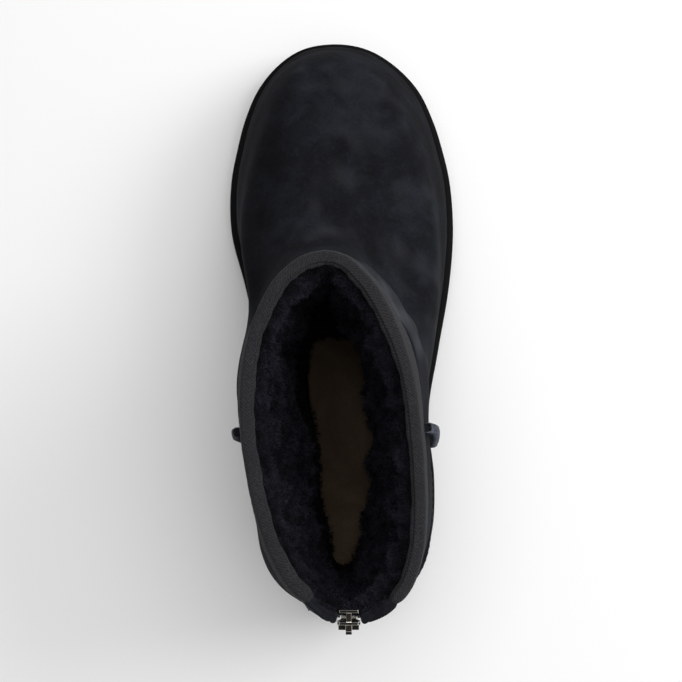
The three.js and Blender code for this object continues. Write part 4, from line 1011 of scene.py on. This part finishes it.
# ------------------------------------------------------------------ insole
NI, NIR = 300, 46
iu = np.arange(NI) / NI
edge = offset(iu, np.zeros((NI, 1)), -(wall_at(iu, np.zeros((NI, 1))) + GAP + 0.2))[:, 0, :2]
cy_ = np.clip(edge[:, 1], 40, 222)
cx_ = np.interp(cy_, [20, 60, 90, 120, 150, 176, 200, 222, 240], [3.0, 2.4, 0.8, 0.6, 0.8, -1.2, -2.4, -3.0, -4.0])
r = np.linspace(0, 1, NIR)[None, :]
IX = edge[:, :1] * (1 - r) + cx_[:, None] * r
IY = edge[:, 1:] * (1 - r) + cy_[:, None] * r
rim = smooth(0, 0.06, r)
ruck = Waves(34, 21)
crease_i = Waves(9, 22)
q = np.stack([IX, IY, 0 * IX], -1)
dish = -1.1 * smooth(0.05, 0.9, r) * (1 - smooth(60, 150, IY)) + 0.5 * ruck(q) * rim + 0.10 * crease_i(q * np.array([0.35, 1.6, 1])) * rim
IZ = sole_top(IY) + GAP + 6.5 - 0.9 * (1 - rim) + dish * 0.8 - 0.4
top_i = np.stack([IX, IY, IZ], 2)
skirt = np.stack([edge[:, 0], edge[:, 1], sole_top(edge[:, 1]) + GAP], 1)[:, None]
insole = make_mesh("insole_leather", np.concatenate([skirt, top_i], 1), grid_faces(NI, NIR + 1, True, flip=True), INSOLE)
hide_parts("insole")

# ------------------------------------------------------------------ fleece
# Seen from above, the fleece slopes in from the binding to a soft overhang, goes under it, and comes
# out again over the insole. Each ring is a radius for every 9 degrees round MID, from the outer side
# towards the toe; fore and aft distances count STRETCH times.
MID, STRETCH = (-1.0, 78.0), 2.6
OVERHANG = [13.7, 12.6, 12.4, 13.2, 14.0, 14.6, 15.4, 16.8, 17.8, 18.2, 19.0, 20.6, 23.2, 24.9, 24.8, 25.3, 26.2, 25.6, 22.6, 17.6,
            15.6, 14.7, 15.0, 16.1, 17.0, 17.6, 18.9, 20.8, 21.5, 21.8, 21.9, 21.8, 21.2, 20.2, 18.4, 16.4, 15.0, 14.2, 14.0, 13.9]
FLOOR = [14.2, 13.2, 12.9, 13.7, 14.7, 15.4, 17.0, 19.2, 18.4, 17.7, 17.4, 17.7, 18.4, 19.6, 21.6, 20.0, 19.8, 21.6, 14.0, 11.8,
         11.4, 11.1, 11.0, 11.1, 12.2, 13.4, 14.6, 14.8, 17.6, 20.3, 20.4, 20.4, 19.4, 18.2, 15.9, 14.7, 13.9, 13.4, 13.4, 13.7]
lump = Waves(13, 31)
lump2 = Waves(6.5, 32)
lump3 = Waves(30, 33)
tuft = Waves(3.2, 34)


def ring_at(table, a):
    """Smooth closed table, a in turns."""
    k = len(table)
    q = np.mod(a, 1.0) * k
    i = np.floor(q).astype(int)
    t = q - i
    v = np.array(table, float)
    p0, p1, p2, p3 = v[(i - 1) % k], v[i % k], v[(i + 1) % k], v[(i + 2) % k]
    return 0.5 * (2 * p1 + (p2 - p0) * t + (2 * p0 - 5 * p1 + 4 * p2 - p3) * t * t + (3 * p1 - p0 - 3 * p2 + p3) * t**3)


# the ring where the fleece leaves the binding
ru = np.linspace(0, 1, 3000, endpoint=False)
dxz = face(ru, np.full((3000, 1), float(LEVELS)))[:, 0]
by_zip = (1 - smooth(12.5, 15.5, np.abs(dxz[:, 0] - ZIP_X))) * (dxz[:, 1] < 40)
rim3 = offset(ru, np.full((3000, 1), float(LEVELS)), (-(COLLAR_WALL + GAP + BINDING_THICK) + 0.7 + 1.0 * by_zip)[:, None])[:, 0]
rx, ry = rim3[:, 0] - MID[0], (rim3[:, 1] - MID[1]) / STRETCH
ra = np.mod(np.arctan2(ry, rx) / (2 * np.pi), 1.0)
order = np.argsort(ra)
RIM_A, RIM_R, RIM_Z = ra[order], np.hypot(rx, ry)[order], rim3[order, 2]

NFA, NFT = 420, 150
fa = np.arange(NFA) / NFA
ring = lambda table: ring_at(table, fa)
r0 = np.interp(fa, RIM_A, RIM_R, period=1.0)
z0 = np.interp(fa, RIM_A, RIM_Z, period=1.0)
deg = fa * 360
spot = lambda *pairs: np.interp(deg, [q[0] for q in pairs] + [360], [q[1] for q in pairs] + [pairs[0][1]])
z1 = spot((0, 54), (60, 62), (90, 80), (120, 78), (180, 66), (240, 66), (270, 66), (300, 60))
under = spot((0, 1.0), (50, 2.5), (75, 6.0), (95, 9.0), (115, 8.0), (150, 5.0), (200, 4.0), (240, 3.5), (270, 3.0), (310, 1.5))
r1, r3 = ring(OVERHANG) + 1.6, ring(FLOOR) + 1.4
floor_z = lambda r: sole_top(MID[1] + STRETCH * np.sin(fa * 2 * np.pi) * r) + GAP + 6.6
rows_r = [r0, r0 - 1.6, lerp(r0, r1, 0.22) - 0.6, lerp(r0, r1, 0.60), r1, r1 + under * 0.55, np.maximum(r1, r3) + under * 0.9, r3 + 0.5, r3 - 0.3]
rows_z = [z0 - 1.6, z0 - 4.5, z0 - 14, lerp(z0, z1, 0.62), z1, lerp(z1, 44, 0.55), np.full(NFA, 41.0), floor_z(r3) + 2.4, floor_z(r3) - 0.8]
ctl = np.stack([np.stack([MID[0] + np.cos(fa * 2 * np.pi) * r, MID[1] + STRETCH * np.sin(fa * 2 * np.pi) * r, z], 1)
                for r, z in zip(rows_r, rows_z)], 1)
nk = ctl.shape[1] - 1
ft = np.linspace(0, nk, NFT)
i = np.clip(np.floor(ft).astype(int), 0, nk - 1)
t = (ft - i)[None, :, None]
g = lambda k: ctl[:, np.clip(k, 0, nk)]
F = 0.5 * (2 * g(i) + (g(i + 1) - g(i - 1)) * t + (2 * g(i - 1) - 5 * g(i) + 4 * g(i + 1) - g(i + 2)) * t * t
           + (3 * g(i) - g(i - 1) - 3 * g(i + 1) + g(i + 2)) * t**3)


def grid_normals(P):
    return unit(np.cross(np.gradient(P, axis=1), np.roll(P, -1, 0) - np.roll(P, 1, 0)))


FN = grid_normals(F)
inward = np.stack([MID[0] - F[..., 0], MID[1] - F[..., 1], 0 * F[..., 0]], -1)
if np.sum(FN * inward) < 0:
    FN = -FN
grow = smooth(0.3, 2.0, ft) * (1 - 0.85 * smooth(nk - 2.2, nk - 0.6, ft))
# a parting runs down the front of the lining, sunk in and darkened with painted shade
parting = np.exp(-((((deg - 104 + 3 * np.sin(1.5))[:, None]) / (2.6 + 0.5 * ft[None, :])) ** 2)) * smooth(0.2, 1.2, ft)[None, :] * (1 - smooth(4.2, 5.5, ft))[None, :]
swell = 1.35 * lump(F) + 1.0 * lump2(F) + 0.55 * lump3(F) + 0.35 * tuft(F)
F = F + FN * (swell * grow[None, :] - 4.5 * parting)[..., None]
FN = grid_normals(F)
if np.sum(FN * inward) < 0:
    FN = -FN
# darkest in the parting, in the hollows and down beside the insole: painted shade
shade = 1 - smooth(4.0, 5.2, ft)[None, :] * (0.93 - 0.35 * spot((0, 1), (60, 0.6), (90, 0), (250, 0), (290, 0.7), (320, 1))[:, None])
fleece_tone_and_painted_shade = np.clip((0.46 + 0.17 * lump2(F) + 0.10 * lump(F)) * shade * (1 - 0.95 * parting), 0.0, 1)
order_v = np.arange(NFA * NFT)
fleece = make_mesh("fleece_skin", F, grid_faces(NFA, NFT, True, flip=False), FLEECE_BASE, tone=fleece_tone_and_painted_shade * 0.6)
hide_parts("upper")
along = np.linalg.norm(np.gradient(F, axis=1), axis=2)
around = np.linalg.norm(np.roll(F, -1, 0) - F, axis=2)


def pick(field, a, t):
    """Bilinear sample of a (NFA, NFT, ...) grid at a in turns, t in rows."""
    qa = np.mod(a, 1.0) * NFA
    ia = np.floor(qa).astype(int)
    wa = qa - ia
    qt = np.clip(t, 0, NFT - 1.001)
    it = np.floor(qt).astype(int)
    wt = qt - it
    sh = (-1,) + (1,) * (field.ndim - 2)
    wa, wt = wa.reshape(sh), wt.reshape(sh)
    f = lambda x, y: field[x % NFA, y]
    return (f(ia, it) * (1 - wa) + f(ia + 1, it) * wa) * (1 - wt) + (f(ia, it + 1) * (1 - wa) + f(ia + 1, it + 1) * wa) * wt


def fibres(name, count, seed, t_from, t_to, length, width, lean=0.5, joints=(0, 0.36, 0.70, 1.0)):
    """Curly wool strands rooted on the lining, gathered in locks; joints are the bends along a strand."""
    g = np.random.default_rng(seed)
    w = (along * around)
    rows_t = np.arange(NFT) / (NFT - 1) * nk
    w = w * ((rows_t >= t_from) & (rows_t <= t_to))[None, :]
    cells = g.choice(NFA * NFT, size=max(count // 8, 1), p=(w / w.sum()).ravel())
    la = (cells // NFT + g.uniform(0, 1, len(cells))) / NFA
    lt = cells % NFT + g.uniform(0, 1, len(cells))
    lock = g.integers(0, len(cells), count)
    mm_a, mm_t = pick(around, la, lt)[lock], pick(along, la, lt)[lock]
    a = la[lock] + g.normal(0, 1.05, count) / np.maximum(mm_a, 0.05) / NFA
    t = np.clip(lt[lock] + g.normal(0, 1.05, count) / np.maximum(mm_t, 0.05), 0.5, NFT - 2)
    p, n, tn = pick(F, a, t), unit(pick(FN, a, t)), pick(fleece_tone_and_painted_shade, a, t)
    comb = g.normal(size=(len(cells), 3)) * lean
    ln = length[0] + (length[1] - length[0]) * g.beta(2, 2, count)
    near_rim = smooth(0.0, 1.6, t / (NFT - 1) * nk)
    ln = ln * (0.45 + 0.55 * near_rim)
    near_floor = smooth(nk - 1.2, nk - 0.2, t / (NFT - 1) * nk)
    d0 = n + comb[lock] + g.normal(size=(count, 3)) * 0.30
    d0[:, 2] = np.where(near_floor > 0.3, np.abs(d0[:, 2]) * 0.4 + 0.08, d0[:, 2])
    d0 = unit(d0)
    side = unit(np.cross(d0, g.normal(size=(count, 3))))
    bend_ = unit(np.cross(d0, side))
    wd = g.uniform(*width, count)
    curl = g.uniform(0.25, 0.8, count) * g.choice([-1, 1], count)
    pts = []
    for tk in joints:
        off = d0 * (ln * tk * (1 - 0.25 * tk))[:, None] + bend_ * (ln * 0.42 * curl * np.sin(tk * 3.0))[:, None] + side * (ln * 0.16 * np.sin(tk * 6.0 + curl * 3))[:, None]
        pts.append(p - n * 0.7 + off)
    flat = unit(np.cross(d0, unit(g.normal(size=(count, 3)))))
    v = []
    for k, wk in enumerate((1.0, 0.9, 0.6) if len(joints) == 4 else (1.0, 0.85)):
        v.append(pts[k] - flat * (wd * wk / 2)[:, None])
        v.append(pts[k] + flat * (wd * wk / 2)[:, None])
    v.append(pts[-1])
    V = np.stack(v, 1)
    nv = V.shape[1]
    base = np.arange(count)[:, None] * nv
    quads = np.concatenate([base + np.array([[i, i + 1, i + 3, i + 2]]) for i in range(0, nv - 3, 2)])
    tris = base + np.array([[nv - 3, nv - 2, nv - 1]])
    tone_ = np.clip(tn * (0.75 + 0.6 * g.beta(2.2, 2.6, len(cells))[lock]) + g.normal(0, 0.05, count) * tn * 2, 0, 1)
    shade = [0.30, 0.30, 0.65, 0.65, 1.0, 1.0, 1.15] if nv == 7 else [0.30, 0.30, 0.88, 0.88, 1.15]
    tone = np.repeat(tone_[:, None], nv, 1) * np.array(shade)[None]
    o = make_mesh(name, V.reshape(-1, 3), [quads, tris], FLEECE, tone=tone.reshape(-1))
    return o


fibres("fleece_rim", 32000, 101, 0.0, 1.8, (2.6, 5.2), (0.19, 0.34), 0.35)
fibres("fleece_shaft_a", 34000, 102, 1.2, 3.2, (3.0, 6.0), (0.22, 0.38), 0.45, (0, 0.52, 1.0))
fibres("fleece_shaft_b", 32000, 103, 2.6, 4.8, (3.0, 6.5), (0.24, 0.42), 0.5, (0, 0.52, 1.0))
fibres("fleece_foot", 26000, 104, 4.5, nk, (2.6, 5.5), (0.26, 0.46), 0.5, (0, 0.52, 1.0))

# ------------------------------------------------------------------ zip
for name in ("zip_tape_outer", "zip_tape_inner"):
    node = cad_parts[name]
    node.data.materials.clear()
    node.data.materials.append(TAPE)
for name in ("zip_slider", "zip_pull"):
    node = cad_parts[name]
    node.data.materials.clear()
    node.data.materials.append(METAL_PAINTED_SHADE)
    node.data.materials.append(METAL_PAINTED_HIGHLIGHT)
    node.modifiers.new("join", "WELD").merge_threshold = 0.00001
    bevel = node.modifiers.new("edge", "BEVEL")
    bevel.width, bevel.segments, bevel.limit_method, bevel.angle_limit = 0.00034, 2, "ANGLE", math.radians(35)
    # the bevels take the near-white copy: painted highlight along the slider's and pull's edges
    bevel.material = 1
    for poly in node.data.polygons:
        poly.use_smooth = False


def back_line(z, o):
    z = np.atleast_1d(np.asarray(z, float))
    u, l = back_at(np.zeros_like(z), z)
    return offset(u, l[:, None], o)[:, 0], normal(u, l[:, None])[:, 0]


# wool that works its way out over the folded heads of the zip facings
g = np.random.default_rng(915)
nf = 2600
fdx = g.choice([-1, 1], nf) * (4.9 + 12.0 * g.beta(1.1, 1.5, nf))
fz = g.uniform(139.5, 143.6, nf)
fu, fl = back_at(fdx, fz)
fn_ = normal(fu, fl[:, None])[:, 0]
in_by = g.uniform(-3.6, -1.6, nf) + 2.6 * (np.abs(fdx) < 6.2) * g.uniform(0, 1, nf)
root = face(fu, fl[:, None])[:, 0] + fn_ * in_by[:, None]
root[:, 2] = np.where(np.abs(fdx) < 6.2, fz, 143.4 + g.uniform(-0.6, 0.5, nf))
grow_to = unit(fn_ * g.uniform(-0.7, 0.9, nf)[:, None] + np.array([0, 0, 1.0]) * g.uniform(0.15, 0.9, nf)[:, None] + g.normal(size=(nf, 3)) * 0.55)
reach_ = g.uniform(0.8, 2.6, nf) * np.where(np.abs(fdx) < 6.2, 0.6, 1.0)
side_ = unit(np.cross(grow_to, g.normal(size=(nf, 3))))
wide = g.uniform(0.10, 0.20, nf)[:, None] / 2
hook = unit(np.cross(grow_to, side_)) * (reach_ * g.uniform(-0.4, 0.4, nf))[:, None]
p1_ = root + grow_to * (reach_ * 0.55)[:, None] + hook
p2_ = root + grow_to * (reach_ * 0.8)[:, None] + hook * 0.6 - np.array([0, 0, 0.3])
V = np.stack([root - side_ * wide, root + side_ * wide, p1_ - side_ * wide, p1_ + side_ * wide, p2_], 1)
first = np.arange(nf)[:, None] * 5
# random tone for each strand, a few paler, darker at the root: painted shade at the roots
fluff_tone_root_shade = np.repeat(g.uniform(0.15, 0.95, nf)[:, None] + (g.uniform(0, 1, nf) > 0.93)[:, None] * 0.5, 5, 1) * np.array([0.5, 0.5, 0.9, 0.9, 1.2])[None]
fluff = make_mesh("fleece_fluff", V.reshape(-1, 3), [first + np.array([[0, 1, 3, 2]]), first + np.array([[2, 3, 4]])], FLEECE, tone=fluff_tone_root_shade.ravel())
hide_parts("upper")

teeth = Batch()
PITCH = 2.0
zs = np.arange(60.0, 132.6, PITCH / 2)
line, ln = back_line(zs, -1.8)
lz = unit(np.gradient(line, axis=0))
for i, z in enumerate(zs):
    side = 1 if i % 2 else -1
    up, out = lz[i], ln[i]
    across = unit(np.cross(out, up))
    across *= np.sign(across[0]) * side
    # jaw that grips the tape, neck and rounded head reaching past the middle
    outline = [(2.9, -0.62), (2.9, 0.62), (1.2, 0.62), (0.3, 0.42), (-0.2, 0.50), (-0.75, 0.30), (-0.9, 0.0), (-0.75, -0.30), (-0.2, -0.50), (0.3, -0.42), (1.2, -0.62)]
    lo = [line[i] + across * a + up * b - out * 1.0 for a, b in outline]
    m1 = [line[i] + across * a + up * b * 1.0 + out * 0.8 for a, b in outline]
    hi = [line[i] + across * (a * 0.9 + 0.12) + up * b * 0.7 + out * 1.08 for a, b in outline]
    v = np.array(lo + m1 + hi)
    k = len(outline)
    f = [grid_faces(3, k, False, True)]
    teeth.add(np.vstack([v, v[:k].mean(0), v[-k:].mean(0)]), f + [np.stack([(np.arange(k) + 1) % k, np.arange(k), np.full(k, 3 * k)], 1),
              np.stack([2 * k + np.arange(k), 2 * k + (np.arange(k) + 1) % k, np.full(k, 3 * k + 1)], 1)], 0.5)
teeth_piece = teeth.build("zip_teeth_metal", METAL, smooth_shade=False)
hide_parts("zip_teeth")

# ------------------------------------------------------------------ floor, light, camera
me = bpy.data.meshes.new("floor")
e = 3.0
me.from_pydata([(-e, -e, 0), (e, -e, 0), (e, e, 0), (-e, e, 0)], [], [(0, 1, 2, 3)])
floor = bpy.data.objects.new("floor", me)
bpy.context.scene.collection.objects.link(floor)
m, nt, b = new_material("floor_white")
b.inputs["Base Color"].default_value = (0.92, 0.92, 0.92, 1)
b.inputs["Roughness"].default_value = 0.9
b.inputs["Specular IOR Level"].default_value = 0.1
me.materials.append(m)

world = bpy.data.worlds.new("studio")
bpy.context.scene.world = world
world.use_nodes = True
bg = world.node_tree.nodes["Background"]
bg.inputs["Color"].default_value = (1.0, 1.0, 1.0, 1)
# soft light from all round, weaker from the boot's inner side
wn = world.node_tree
way = wn.nodes.new("ShaderNodeTexCoord")
split = wn.nodes.new("ShaderNodeSeparateXYZ")
level_ = wn.nodes.new("ShaderNodeMapRange")
level_.interpolation_type = "SMOOTHSTEP"
for key_, value in (("From Min", -0.9), ("From Max", 0.6), ("To Min", 0.30), ("To Max", 0.50)):
    level_.inputs[key_].default_value = value
wn.links.new(way.outputs["Generated"], split.inputs["Vector"])
wn.links.new(split.outputs["X"], level_.inputs["Value"])
wn.links.new(level_.outputs["Result"], bg.inputs["Strength"])


def area(name, loc, target, size, power, color=(1, 1, 1)):
    l = bpy.data.lights.new(name, "AREA")
    l.shape, l.size, l.size_y, l.energy, l.color = "RECTANGLE", size[0], size[1], power, color
    o = bpy.data.objects.new(name, l)
    bpy.context.scene.collection.objects.link(o)
    o.location = loc
    o.rotation_euler = (Vector(target) - Vector(loc)).to_track_quat("-Z", "Y").to_euler()
    return o


area("overhead", (0.10, 0.20, 1.25), (0, 0, 0.05), (1.0, 0.9), 8.3)
area("side", (0.85, 0.30, 0.80), (0, 0, 0.08), (0.6, 0.6), 6.0)

view = bpy.context.scene.view_settings
view.view_transform = "Standard"
view.look = "None"

shift = SHIFT * MM
C = Vector((-1.87 * MM + shift[0], 75.0 * MM + shift[1], 645.0 * MM))
T = Vector((-1.87 * MM + shift[0], 126.0 * MM + shift[1], 0.0))
cam = bpy.data.cameras.new("camera")
cam.sensor_width, cam.lens = 36.0, 36.0 * 1346.0 / 682.0
cam_o = bpy.data.objects.new("camera", cam)
bpy.context.scene.collection.objects.link(cam_o)
fwd = (T - C).normalized()
right = Vector((1, 0, 0))
up = right.cross(fwd)
cam_o.matrix_world = Matrix(((right.x, up.x, -fwd.x, C.x), (right.y, up.y, -fwd.y, C.y), (right.z, up.z, -fwd.z, C.z), (0, 0, 0, 1)))
bpy.context.scene.camera = cam_o
